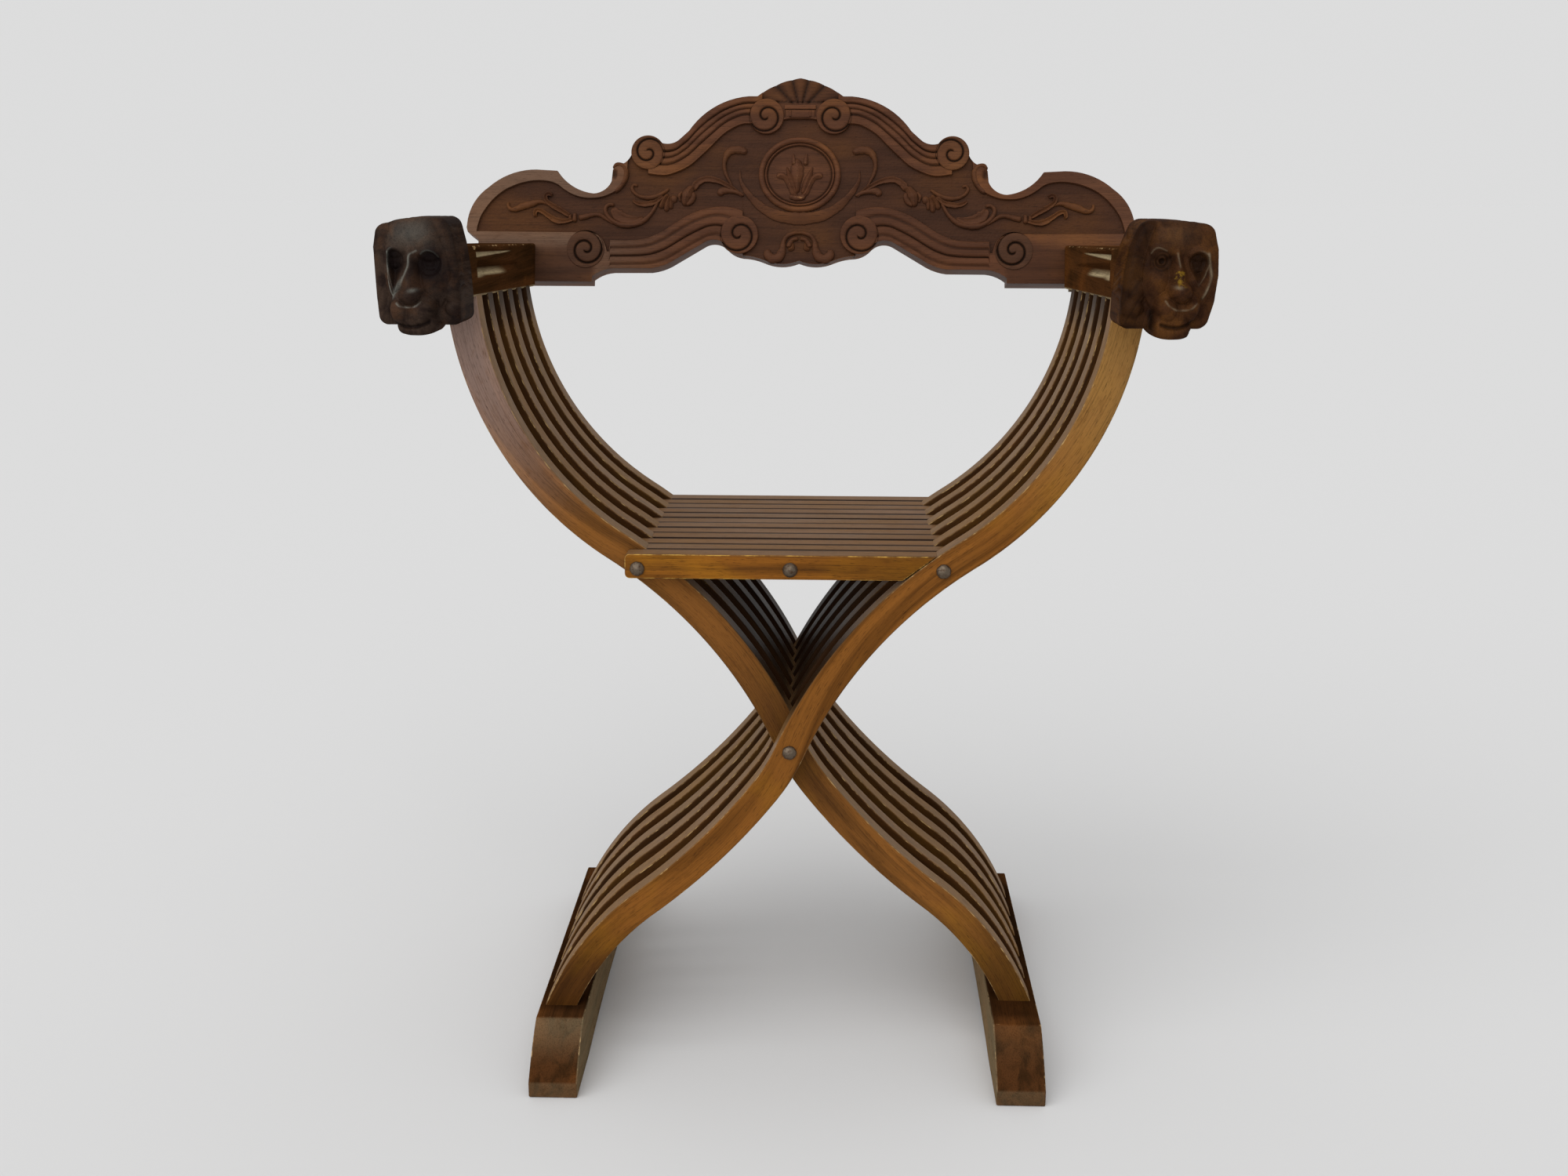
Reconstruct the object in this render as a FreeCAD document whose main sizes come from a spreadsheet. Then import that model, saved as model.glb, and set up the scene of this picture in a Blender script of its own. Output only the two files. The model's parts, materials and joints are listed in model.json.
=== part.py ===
import FreeCAD, Part
import math
import os
from types import SimpleNamespace

import Sketcher

# A folding X-frame armchair of interlaced slats, in millimetres and degrees.
# +Z is up, the front faces -Y, and the origin is on the floor under the middle of the chair.
# Twelve layers run from front to back. Right leg slats (right arm to left foot) fill the odd
# layers, left leg slats the even ones, and every layer has one seat slat.

Vector = FreeCAD.Vector
DOC = FreeCAD.newDocument("savonarola_chair")

SIZES = (
    ("slat_thickness", 21.1, "leg and seat slats, front to back"),
    ("layer_gap", 0.8, "free space between two layers"),
    ("slat_pairs", 6, "leg slats in each of the two sets"),
    ("slat_width", 26.0, "leg slat across its curve"),
    ("slat_spare", 30.0, "leg slat blank beyond its two shoulders, before it is trimmed"),
    ("waist_slope", 66.5, "degrees, rise of a leg slat where the sets cross"),
    ("thigh_radius", 397.0, "curve from the crossing up to the seat"),
    ("thigh_turn", 29.9, "degrees, crossing to seat bolt"),
    ("thigh_rest_turn", 3.5, "degrees, seat bolt to the change of curve"),
    ("arm_curve_radius", 271.0, "curve from the seat up to the arm"),
    ("arm_curve_turn", 53.0, "degrees"),
    ("waist_radius", 173.0, "tight curve just under the crossing"),
    ("waist_turn", 13.9, "degrees"),
    ("calf_radius", 570.0, "long curve below it"),
    ("calf_turn", 14.9, "degrees"),
    ("ankle_radius", 249.0, "curve down to the runner"),
    ("ankle_turn", 29.4, "degrees"),
    ("tenon_width", 14.0, "slat tenons, across"),
    ("tenon_thickness", 12.0, "slat tenons, front to back"),
    ("tenon_length", 15.0, "slat tenons, into the arm or runner"),
    ("tenon_root", 6.0, "slat tenons, overlap with the slat"),
    ("tenon_play", 0.1, "gap round a tenon in its mortise"),
    ("seat_rise", 12.3, "seat slat above its bolts"),
    ("seat_drop", 8.5, "seat slat below its bolts"),
    ("seat_end_reach", 10.5, "seat slat past the bolt it turns on"),
    ("seat_end_round", 4.0, "rounded corners of that end"),
    ("seat_rest_gap", 0.35, "seat slat's slanted end to the leg slat it rests on"),
    ("runner_height", 51.0, "foot runner at its flat top"),
    ("runner_width", 42.0, "foot runner, side to side"),
    ("runner_inset", 2.0, "runner's middle inside the middle of the slats' feet"),
    ("runner_front_shoulder", 21.0, "flat top ahead of the first slat"),
    ("runner_rear_shoulder", 40.0, "flat top behind the last slat"),
    ("toe_reach", 48.0, "sloping toe beyond each shoulder"),
    ("toe_height", 13.0, "blunt end of a toe"),
    ("toe_bulge", 3.5, "rise of the toe's slope above a straight line"),
    ("pad_length", 75.0, "flat sole at each end of a runner"),
    ("arch_rise", 6.0, "hollow under the runner's middle"),
    ("arm_width", 56.0, "armrest, side to side"),
    ("arm_thickness", 41.0, "armrest, top to underside"),
    ("arm_slope", 2.4, "degrees, fall of the armrest to the rear"),
    ("arm_nose", 19.0, "armrest ahead of the first slat"),
    ("arm_tail", 35.3, "armrest behind the last slat, at its underside"),
    ("head_width", 73.0, "carved head, side to side"),
    ("head_outset", 1.3, "head's middle outside the armrest's middle"),
    ("head_depth", 56.0, "carved head's mane, front to back"),
    ("head_height", 80.0, "carved head's mane, top to bottom"),
    ("head_lift", 3.5, "head's middle above the middle of the armrest's front end"),
    ("head_round", 11.0, "rounded edges of the mane"),
    ("muzzle_width", 42.0, "muzzle and chin, side to side"),
    ("muzzle_reach", 26.0, "muzzle ahead of the mane"),
    ("muzzle_height", 44.0, "muzzle and chin together"),
    ("muzzle_round", 9.0, "rounded edges of the muzzle"),
    ("chin_drop", 7.0, "chin below the mane"),
    ("dowel_radius", 7.0, "dowel between head and armrest"),
    ("dowel_depth", 26.0, "dowel into each of the two"),
    ("bolt_radius", 4.0, "through bolts' shanks"),
    ("bolt_play", 0.08, "radial running gap round a shank"),
    ("bolt_head_radius", 6.3, "domed heads and nuts"),
    ("bolt_head_rise", 4.2, "domed heads and nuts"),
    ("head_gap", 0.3, "domed heads and nuts to the wood"),
    ("thread_reach", 2.4, "shank inside its domed nut"),
    ("nut_gap", 0.2, "shank's end to the bottom of the nut"),
    ("panel_height", 199.0, "carved back along its slope"),
    ("panel_lift", 3.6, "carved back's lower edge above the armrests' lower rear edges"),
    ("panel_thickness", 22.0, "carved back"),
    ("panel_lean", 13.0, "degrees, carved back from upright"),
    ("panel_gap", 0.35, "carved back to the armrests' rear ends"),
    ("field_depth", 3.5, "sunk ground behind the rim of the back"),
    ("medallion_radius", 38.0, "round moulding in the middle of the back"),
    ("medallion_height", 104.3, "its middle above the back's lower edge"),
    ("ring_width", 5.0, "width of that moulding"),
    ("leaf_thickness", 1.6, "hinge leaves"),
    ("leaf_width", 17.0, "hinge leaves, away from the knuckle"),
    ("leaf_height", 30.0, "hinge leaves"),
    ("leaf_foot", 1.0, "hinge above the back's lower edge"),
    ("leaf_setback", 3.7, "hinge leaf's edge to the joint line"),
    ("knuckle_radius", 3.2, "hinge knuckles"),
    ("knuckle_play", 0.3, "between two knuckles, and from knuckles to wood"),
    ("hinge_pin_radius", 1.5, "hinge pin"),
    ("hinge_pin_play", 0.06, "radial gap round the hinge pin"),
    ("screw_radius", 1.3, "small screws' shanks"),
    ("screw_head_radius", 2.9, "small screws' heads"),
    ("screw_head_rise", 1.1, "small screws' heads"),
    ("screw_length", 11.0, "small screws in the wood"),
    ("screw_play", 0.05, "radial gap round the small screws"),
    ("screw_inset", 7.0, "hinge screws from the leaf's ends"),
    ("catch_thickness", 2.0, "turning catch"),
    ("catch_width", 9.0, "turning catch"),
    ("catch_span", 26.0, "catch's pivot screw to its slot"),
    ("catch_height", 28.0, "catch's pivot above the back's lower edge"),
    ("catch_gap", 0.3, "catch to the wood"),
    ("catch_slot_play", 0.5, "gap round the stud in the catch's slot"),
    ("stop_radius", 1.7, "iron stop pin under the right armrest"),
    ("stop_stand", 2.6, "stop pin below the armrest"),
    ("stop_depth", 14.0, "stop pin in the armrest"),
    ("stop_inset", 5.0, "stop pin from the armrest's inner and rear faces"),
    ("overrun", 5.0, "cutting tools beyond the wood they cut"),
)

# Half of the back's outline, from the middle of its lower edge round to the crest. Each row is an
# end point, with a point on the way where the stretch is round. Across is a share of the distance
# from the middle to the armrests' outer faces, up a share of the height.
PANEL_START_SHARES = (0.0, 0.114)
PANEL_OUTLINE_SHARES = (
    ((0.054, 0.097), (0.109, 0.116)),
    ((0.139, 0.131), (0.175, 0.138)),
    ((0.205, 0.154), (0.225, 0.180)),
    ((0.259, 0.206), (0.296, 0.192)),
    (None, (0.384, 0.110)),
    ((0.419, 0.082), (0.461, 0.066)),
    (None, (0.580, 0.065)),
    ((0.611, 0.055), (0.644, 0.026)),
    (None, (0.644, 0.000)),
    (None, (1.000, 0.000)),
    (None, (1.000, 0.203)),
    (None, (1.037, 0.248)),
    ((1.022, 0.369), (0.969, 0.466)),
    ((0.896, 0.533), (0.802, 0.551)),
    (None, (0.754, 0.547)),
    ((0.712, 0.478), (0.641, 0.437)),
    ((0.598, 0.467), (0.580, 0.520)),
    ((0.582, 0.550), (0.570, 0.569)),
    (None, (0.544, 0.587)),
    ((0.530, 0.608), (0.522, 0.632)),
    ((0.502, 0.686), (0.469, 0.705)),
    ((0.449, 0.699), (0.432, 0.685)),
    ((0.405, 0.680), (0.376, 0.699)),
    (None, (0.345, 0.743)),
    ((0.272, 0.853), (0.160, 0.911)),
    (None, (0.133, 0.911)),
    ((0.066, 0.973), (0.000, 1.000)),
)
# The sunk ground of the back, in the same shares, from the middle of its lower edge.
FIELD_START_SHARES = (0.0, 0.135)
FIELD_OUTLINE_SHARES = (
    ((0.104, 0.155), (0.166, 0.186)),
    ((0.223, 0.249), (0.301, 0.249)),
    (None, (0.436, 0.145)),
    (None, (0.581, 0.130)),
    ((0.705, 0.175), (0.747, 0.249)),
    (None, (0.975, 0.249)),
    ((0.949, 0.369), (0.897, 0.430)),
    ((0.845, 0.466), (0.788, 0.471)),
    ((0.726, 0.389), (0.641, 0.359)),
    ((0.560, 0.399), (0.519, 0.491)),
    ((0.436, 0.572), (0.342, 0.583)),
    ((0.239, 0.674), (0.124, 0.756)),
    (None, (0.000, 0.756)),
)


class Size:
    """A number together with the sheet expression that gives it."""

    def __init__(self, number, text):
        self.number = float(number)
        self.text = text

    def _join(self, other, sign, number):
        text = other.text if isinstance(other, Size) else str(other)
        return Size(number, f"({self.text} {sign} {text})")

    def __add__(self, other):
        return self._join(other, "+", self.number + bare(other))

    def __sub__(self, other):
        return self._join(other, "-", self.number - bare(other))

    def __mul__(self, other):
        return self._join(other, "*", self.number * bare(other))

    def __truediv__(self, other):
        return self._join(other, "/", self.number / bare(other))

    def __neg__(self):
        return Size(-self.number, f"(0 - {self.text})")


ZERO = Size(0, "0")


def bare(value):
    """The plain number of a size or a number."""
    return value.number if isinstance(value, Size) else value


def sine(angle):
    return Size(math.sin(math.radians(angle.number)), f"sin({angle.text})")


def cosine(angle):
    return Size(math.cos(math.radians(angle.number)), f"cos({angle.text})")


def tangent(angle):
    return Size(math.tan(math.radians(angle.number)), f"tan({angle.text})")


def arcsine(share):
    """The angle of a sine, in degrees; the sheet gives it as a quantity, so its unit is taken off."""
    return Size(math.degrees(math.asin(share.number)), f"(asin({share.text}) / 1 deg)")


def make_sheet():
    """The driving sizes, one row each: name, number and what it measures."""
    sheet = DOC.addObject("Spreadsheet::Sheet", "Sizes")
    named = {}
    for row, (name, number, note) in enumerate(SIZES, start=1):
        sheet.set(f"A{row}", name)
        sheet.set(f"B{row}", str(number))
        sheet.set(f"C{row}", note)
        sheet.setAlias(f"B{row}", name)
        named[name] = Size(number, f"Sizes.{name}")
    return SimpleNamespace(**named)


S = make_sheet()
DOC.recompute()

UPRIGHT = FreeCAD.Rotation()
FACING_FRONT = FreeCAD.Rotation(Vector(1, 0, 0), 90)     # a sketch in X and Z, a cap towards -Y
FACING_BACK = FreeCAD.Rotation(Vector(1, 0, 0), -90)     # a cylinder or cap towards +Y
SIDE_VIEW = FreeCAD.Rotation(Vector(1, 1, 1), 120)       # a sketch in Y and Z
FACING_RIGHT = FreeCAD.Rotation(Vector(0, 1, 0), 90)     # a cylinder towards +X

PIECES = {}


def piece(name, feature):
    """Give a finished solid the name of its node."""
    feature.Label = name
    PIECES[name] = feature
    return feature


def place(feature, x, y, z, rotation=UPRIGHT):
    """Put a feature where three sizes say."""
    feature.Placement = FreeCAD.Placement(Vector(x.number, y.number, z.number), rotation)
    for axis, size in zip("xyz", (x, y, z)):
        feature.setExpression(f"Placement.Base.{axis}", size.text)
    return feature


def box(x, y, z, length, width, height, rotation=UPRIGHT):
    """A block from its lowest corner; its length runs along X, width along Y, height along Z."""
    block = DOC.addObject("Part::Box", "block")
    for side, size in (("Length", length), ("Width", width), ("Height", height)):
        setattr(block, side, size.number)
        block.setExpression(side, size.text)
    return place(block, x, y, z, rotation)


def cylinder(radius, height, x, y, z, rotation=UPRIGHT):
    rod = DOC.addObject("Part::Cylinder", "rod")
    for side, size in (("Radius", radius), ("Height", height)):
        setattr(rod, side, size.number)
        rod.setExpression(side, size.text)
    return place(rod, x, y, z, rotation)


def dome(radius, rise, x, y, z, rotation):
    """A cap of a sphere whose flat base has its middle at x, y, z."""
    ball_radius = (radius * radius + rise * rise) / (rise * 2)
    sunk = ball_radius - rise
    cap = DOC.addObject("Part::Sphere", "cap")
    for side, size in (("Radius", ball_radius), ("Angle1", arcsine(sunk / ball_radius))):
        setattr(cap, side, size.number)
        cap.setExpression(side, size.text)
    cap.Angle2 = 90
    towards = rotation.multVec(Vector(0, 0, 1))
    back_off = [sunk * -round(part) for part in towards]
    return place(cap, x + back_off[0], y + back_off[1], z + back_off[2], rotation)


def fuse(*solids):
    joined = DOC.addObject("Part::MultiFuse", "joined")
    joined.Shapes = list(solids)
    joined.Refine = True
    return joined


def common(first, second):
    kept = DOC.addObject("Part::MultiCommon", "kept")
    kept.Shapes = [first, second]
    return kept


def cut(solid, *tools):
    """Take one or more tools out of a solid."""
    for tool in tools:
        left = DOC.addObject("Part::Cut", "left")
        left.Base = solid
        left.Tool = tool
        solid = left
    return solid


def mirrored(feature):
    """The same piece on the other side of the chair."""
    twin = DOC.addObject("Part::Mirroring", "twin")
    twin.Source = feature
    twin.Normal = Vector(1, 0, 0)
    return twin


def extruded(outline, direction, length, x=ZERO, y=ZERO, z=ZERO, rotation=UPRIGHT):
    prism = DOC.addObject("Part::Extrusion", "prism")
    prism.Base = outline
    prism.DirMode = "Custom"
    prism.Dir = direction
    prism.Solid = True
    prism.FaceMakerClass = "Part::FaceMakerBullseye"
    prism.LengthFwd = length.number
    prism.setExpression("LengthFwd", length.text)
    return place(prism, x, y, z, rotation)


def rounded(block, radius):
    """A block with all its edges rounded."""
    DOC.recompute()
    soft = DOC.addObject("Part::Fillet", "soft")
    soft.Base = block
    edge_count = len(block.Shape.Edges)
    soft.Edges = [(number, radius.number, radius.number) for number in range(1, edge_count + 1)]
    return soft


def outline(name, rotation, start, stretches):
    """A closed sketch of straight and round stretches, each point held by the sheet.

    A stretch is a pair: the point that a round one passes on its way, or None, and its end.
    """
    sketch = DOC.addObject("Sketcher::SketchObject", name)
    sketch.Placement = FreeCAD.Placement(Vector(0, 0, 0), rotation)
    rules = []
    texts = []

    def spot(point):
        return Vector(point[0].number, point[1].number, 0)

    def hold(geometry, position, point):
        for kind, size in zip(("DistanceX", "DistanceY"), point):
            texts.append((len(rules), size.text))
            rules.append(Sketcher.Constraint(kind, -1, 1, geometry, position, size.number))

    here = start
    last = None
    for way, end in stretches:
        begins, ends = 1, 2
        if way is None:
            curve = Part.LineSegment(spot(here), spot(end))
        else:
            turn = (spot(way) - spot(here)).cross(spot(end) - spot(way)).z
            if turn > 0:
                curve = Part.Arc(spot(here), spot(way), spot(end))
            else:
                curve = Part.Arc(spot(end), spot(way), spot(here))
                begins, ends = 2, 1
        geometry = sketch.addGeometry(curve, False)
        if way is not None:
            mark = sketch.addGeometry(Part.Point(spot(way)), True)
            rules.append(Sketcher.Constraint("PointOnObject", mark, 1, geometry))
            hold(mark, 1, way)
        if last is None:
            first = (geometry, begins)
        else:
            rules.append(Sketcher.Constraint("Coincident", *last, geometry, begins))
        hold(geometry, ends, end)
        last = (geometry, ends)
        here = end
    rules.append(Sketcher.Constraint("Coincident", *last, *first))
    sketch.addConstraint(rules)
    for number, text in texts:
        sketch.setExpression(f"Constraints[{number}]", text)
    return sketch


# Layers and heights that the other pieces share

PITCH = S.slat_thickness + S.layer_gap
PACK_DEPTH = PITCH * (S.slat_pairs * 2) - S.layer_gap
NOSE = S.arm_nose + S.head_depth + S.muzzle_reach
CREST = (PACK_DEPTH + S.arm_tail + (S.panel_lift + S.panel_height) * sine(S.panel_lean)
         + (S.panel_thickness + S.panel_gap) * cosine(S.panel_lean))
PACK_FRONT = (NOSE - CREST) / 2
PACK_BACK = PACK_FRONT + PACK_DEPTH
TAIL = PACK_BACK + S.arm_tail


def layer_front(layer):
    """Front face of a layer, counted from 1 at the front."""
    return PACK_FRONT + PITCH * (layer - 1)


class Chain:
    """A path of tangent arcs that starts at the crossing and keeps both of its edges."""

    def __init__(self, slope, ways):
        self.x, self.z, self.slope = ZERO, ZERO, slope
        self.knots = [(self.x, self.z, self.slope)]
        self.middles = []
        self.marks = {}
        for name, radius, turn, side in ways:
            self.follow(radius, turn, side)
            self.marks[name] = self.knots[-1]

    def follow(self, radius, turn, side):
        """Add an arc; side is 1 where it bends left of the way it goes, and -1 right."""
        centre_x = self.x - sine(self.slope) * radius * side
        centre_z = self.z + cosine(self.slope) * radius * side
        for share, keep in ((0.5, self.middles), (1, self.knots)):
            slope = self.slope + turn * side * share
            keep.append((centre_x + sine(slope) * radius * side,
                         centre_z - cosine(slope) * radius * side, slope))
        self.x, self.z, self.slope = self.knots[-1]

    def run_on(self, length):
        """Add a straight end."""
        self.x = self.x + cosine(self.slope) * length
        self.z = self.z + sine(self.slope) * length
        self.middles.append(None)
        self.knots.append((self.x, self.z, self.slope))

    def edge(self, side):
        """Stretches along one edge: side 1 is left of the way the chain goes."""
        def shifted(knot):
            x, z, slope = knot
            return (x - sine(slope) * S.slat_width / 2 * side,
                    z + cosine(slope) * S.slat_width / 2 * side)
        ways = [middle and shifted(middle) for middle in self.middles]
        return [shifted(knot) for knot in self.knots], ways


UPPER = Chain(S.waist_slope, (
    ("seat", S.thigh_radius, S.thigh_turn, -1),
    ("bend", S.thigh_radius, S.thigh_rest_turn, -1),
    ("arm", S.arm_curve_radius, S.arm_curve_turn, 1),
))
UPPER.run_on(S.slat_spare)
HALF_TURN = Size(180, "180")
LOWER = Chain(S.waist_slope + HALF_TURN, (
    ("waist", S.waist_radius, S.waist_turn, -1),
    ("calf", S.calf_radius, S.calf_turn, -1),
    ("foot", S.ankle_radius, S.ankle_turn, 1),
))
LOWER.run_on(S.slat_spare)

SEAT_X, SEAT_RISE, SEAT_SLOPE = UPPER.marks["seat"]
ARM_X, ARM_RISE, _ = UPPER.marks["arm"]
FOOT_X, FOOT_FALL, _ = LOWER.marks["foot"]
PIVOT_Z = S.runner_height - FOOT_FALL
SEAT_Z = PIVOT_Z + SEAT_RISE
ARM_INNER = ARM_X - S.slat_width / 2
ARM_OUTER = ARM_INNER + S.arm_width
ARM_MIDDLE = ARM_INNER + S.arm_width / 2


def arm_underside(y):
    """Height of the armrest's sloping underside at a depth y."""
    return PIVOT_Z + ARM_RISE - (y - PACK_FRONT) * tangent(S.arm_slope)


ARM_END_Z = arm_underside(TAIL)


def leaning(u, depth, rise):
    """The place in the chair of a point of the leaning back: across, behind its face, up."""
    behind = depth + S.panel_gap
    up = rise + S.panel_lift
    return (u,
            TAIL + behind * cosine(S.panel_lean) + up * sine(S.panel_lean),
            ARM_END_Z - behind * sine(S.panel_lean) + up * cosine(S.panel_lean))


LEAN = FreeCAD.Rotation(Vector(1, 0, 0), -S.panel_lean.number)


# Leg slats

def leg_outline():
    """The double curve of a right leg slat, seen from the front, with the crossing at x = 0."""
    upper_left, upper_left_ways = UPPER.edge(1)
    upper_right, upper_right_ways = UPPER.edge(-1)
    lower_left, lower_left_ways = LOWER.edge(1)
    lower_right, lower_right_ways = LOWER.edge(-1)
    stretches = list(zip(upper_left_ways, upper_left[1:]))
    stretches.append((None, upper_right[-1]))
    stretches += list(zip(upper_right_ways[::-1], upper_right[-2::-1]))
    stretches += list(zip(lower_left_ways, lower_left[1:]))
    stretches.append((None, lower_right[-1]))
    stretches += list(zip(lower_right_ways[::-1], lower_right[-2::-1]))
    raised = [(way and (way[0], way[1] + PIVOT_Z), (end[0], end[1] + PIVOT_Z))
              for way, end in stretches]
    return outline("leg_outline", FACING_FRONT, raised[-1][1], raised)


def trimming_block():
    """The space between runners and armrests, which the leg slats fill from shoulder to shoulder."""
    front = PACK_FRONT - S.overrun
    back = PACK_BACK + S.overrun
    corners = [(front, S.runner_height), (back, S.runner_height),
               (back, arm_underside(back)), (front, arm_underside(front))]
    side = outline("trimming_outline", SIDE_VIEW, corners[-1], [(None, end) for end in corners])
    half = ARM_OUTER + S.overrun
    return extruded(side, Vector(1, 0, 0), half * 2, x=-half)


def tenon(middle_x, layer, low, high, play):
    """A tenon, or with play the mortise it goes into."""
    y = layer_front(layer) + (S.slat_thickness - S.tenon_thickness) / 2
    x = middle_x - S.tenon_width / 2
    return box(x - play, y - play, low, S.tenon_width + play * 2, S.tenon_thickness + play * 2,
               high - low)


def top_tenon(layer, play):
    shoulder = arm_underside(layer_front(layer) + S.slat_thickness / 2)
    return tenon(ARM_X, layer, shoulder - S.tenon_root, shoulder + S.tenon_length + play, play)


def foot_tenon(layer, play):
    shoulder = S.runner_height
    return tenon(FOOT_X, layer, shoulder - S.tenon_length - play, shoulder + S.tenon_root, play)


def bore(x, z):
    """A bolt's hole through the whole pack."""
    return cylinder(S.bolt_radius + S.bolt_play, PACK_DEPTH + S.overrun * 2,
                    x, PACK_FRONT - S.overrun, z, FACING_BACK)


SIDES = {"right": 1, "left": 2}      # the layer of each side's first leg slat


def on_side(side, feature):
    """Pieces are drawn for the right leg set; the left set is its mirror image."""
    return feature if side == "right" else mirrored(feature)


def layers_of(side):
    return [SIDES[side] + 2 * number for number in range(int(S.slat_pairs.number))]


def make_leg_slats():
    profile = leg_outline()
    space = trimming_block()
    holes = [bore(ZERO, PIVOT_Z), bore(SEAT_X, SEAT_Z)]
    for side in SIDES:
        for number, layer in enumerate(layers_of(side), start=1):
            blank = extruded(profile, Vector(0, 1, 0), S.slat_thickness, y=layer_front(layer))
            slat = fuse(common(blank, space), top_tenon(layer, ZERO), foot_tenon(layer, ZERO))
            piece(f"leg_slat_{side}_{number}", on_side(side, cut(slat, *holes)))


# Armrests, runners and carved heads

def arm_blank():
    front = PACK_FRONT - S.arm_nose
    rise = S.arm_thickness / (cosine(S.panel_lean) + sine(S.panel_lean) * tangent(S.arm_slope))
    rear_top = (TAIL + rise * sine(S.panel_lean), ARM_END_Z + rise * cosine(S.panel_lean))
    corners = [(front, arm_underside(front)), (TAIL, ARM_END_Z), rear_top,
               (front, arm_underside(front) + S.arm_thickness)]
    side = outline("arm_outline", SIDE_VIEW, corners[-1], [(None, end) for end in corners])
    return extruded(side, Vector(1, 0, 0), S.arm_width, x=ARM_INNER)


def runner_blank():
    front = PACK_FRONT - S.runner_front_shoulder
    back = PACK_BACK + S.runner_rear_shoulder
    toe = front - S.toe_reach
    heel = back + S.toe_reach
    middle = (toe + heel) / 2
    slope_height = (S.runner_height + S.toe_height) / 2 + S.toe_bulge
    stretches = [
        (None, (toe + S.pad_length, ZERO)),
        ((middle, S.arch_rise), (heel - S.pad_length, ZERO)),
        (None, (heel, ZERO)),
        (None, (heel, S.toe_height)),
        ((back + S.toe_reach / 2, slope_height), (back, S.runner_height)),
        (None, (front, S.runner_height)),
        ((front - S.toe_reach / 2, slope_height), (toe, S.toe_height)),
        (None, (toe, ZERO)),
    ]
    side = outline("runner_outline", SIDE_VIEW, (toe, ZERO), stretches)
    outer = FOOT_X - S.runner_width / 2 + S.runner_inset
    return extruded(side, Vector(1, 0, 0), S.runner_width, x=outer)


HEAD_BACK = PACK_FRONT - S.arm_nose
HEAD_X = ARM_MIDDLE + S.head_outset
DOWEL_Z = arm_underside(HEAD_BACK) + S.arm_thickness / 2
HEAD_Z = DOWEL_Z + S.head_lift


def head_dowel(play):
    return cylinder(S.dowel_radius + play, (S.dowel_depth + play) * 2,
                    ARM_MIDDLE, HEAD_BACK - S.dowel_depth - play, DOWEL_Z, FACING_BACK)


def lion_head():
    """The carved head's block: the mane, with the muzzle and chin ahead of it."""
    mane_front = HEAD_BACK - S.head_depth
    mane_low = HEAD_Z - S.head_height / 2
    mane = rounded(box(HEAD_X - S.head_width / 2, mane_front, mane_low,
                       S.head_width, S.head_depth, S.head_height), S.head_round)
    muzzle = rounded(box(HEAD_X - S.muzzle_width / 2, mane_front - S.muzzle_reach,
                         mane_low - S.chin_drop, S.muzzle_width,
                         S.muzzle_reach + S.head_depth / 2, S.muzzle_height), S.muzzle_round)
    return cut(fuse(mane, muzzle), head_dowel(S.tenon_play))


def make_arms_and_feet():
    arm = arm_blank()
    runner = runner_blank()
    head = lion_head()
    dowel = head_dowel(ZERO)
    foot_of = {"right": "left", "left": "right"}
    for side in SIDES:
        arm_tools = [top_tenon(layer, S.tenon_play) for layer in layers_of(side)]
        arm_tools.append(head_dowel(S.tenon_play))
        foot_tools = [foot_tenon(layer, S.tenon_play) for layer in layers_of(side)]
        arm_tools += arm_hardware_holes(side)
        piece(f"arm_{side}", on_side(side, cut(arm, *arm_tools)))
        piece(f"foot_runner_{foot_of[side]}", on_side(side, cut(runner, *foot_tools)))
        piece(f"lion_head_{side}", on_side(side, head))
        piece(f"head_dowel_{side}", on_side(side, dowel))


# Seat slats

def seat_outline():
    """A seat slat that turns on the left seat bolt; its right end lies on a right leg slat."""
    left = -SEAT_X - S.seat_end_reach
    low = SEAT_Z - S.seat_drop
    high = SEAT_Z + S.seat_rise
    reach = S.slat_width / 2 + S.seat_rest_gap
    rest_x = SEAT_X - sine(SEAT_SLOPE) * reach
    rest_z = SEAT_Z + cosine(SEAT_SLOPE) * reach

    def rest_at(z):
        return rest_x + (z - rest_z) / tangent(SEAT_SLOPE)

    curve = S.seat_end_round
    corner = curve * (1 - math.sqrt(0.5))
    stretches = [
        (None, (rest_at(low), low)),
        (None, (rest_at(high), high)),
        (None, (left + curve, high)),
        ((left + corner, high - corner), (left, high - curve)),
        (None, (left, low + curve)),
        ((left + corner, low + corner), (left + curve, low)),
    ]
    return outline("seat_outline", FACING_FRONT, (left + curve, low), stretches)


def make_seat_slats():
    profile = seat_outline()
    holes = [bore(-SEAT_X, SEAT_Z), bore(ZERO, SEAT_Z)]
    for layer in range(1, 2 * int(S.slat_pairs.number) + 1):
        slat = cut(extruded(profile, Vector(0, 1, 0), S.slat_thickness, y=layer_front(layer)),
                   *holes)
        turned = slat if layer % 2 else mirrored(slat)
        piece(f"seat_slat_{layer:02d}", turned)


# Through bolts with domed heads and nuts

SHANK_FRONT = PACK_FRONT - S.head_gap
NUT_FRONT = PACK_BACK + S.head_gap
SHANK_BACK = NUT_FRONT + S.thread_reach


def shank(start, end, x, z):
    return cylinder(S.bolt_radius, end - start, x, start, z, FACING_BACK)


def bolt_head(x, z):
    return dome(S.bolt_head_radius, S.bolt_head_rise, x, SHANK_FRONT, z, FACING_FRONT)


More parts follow.
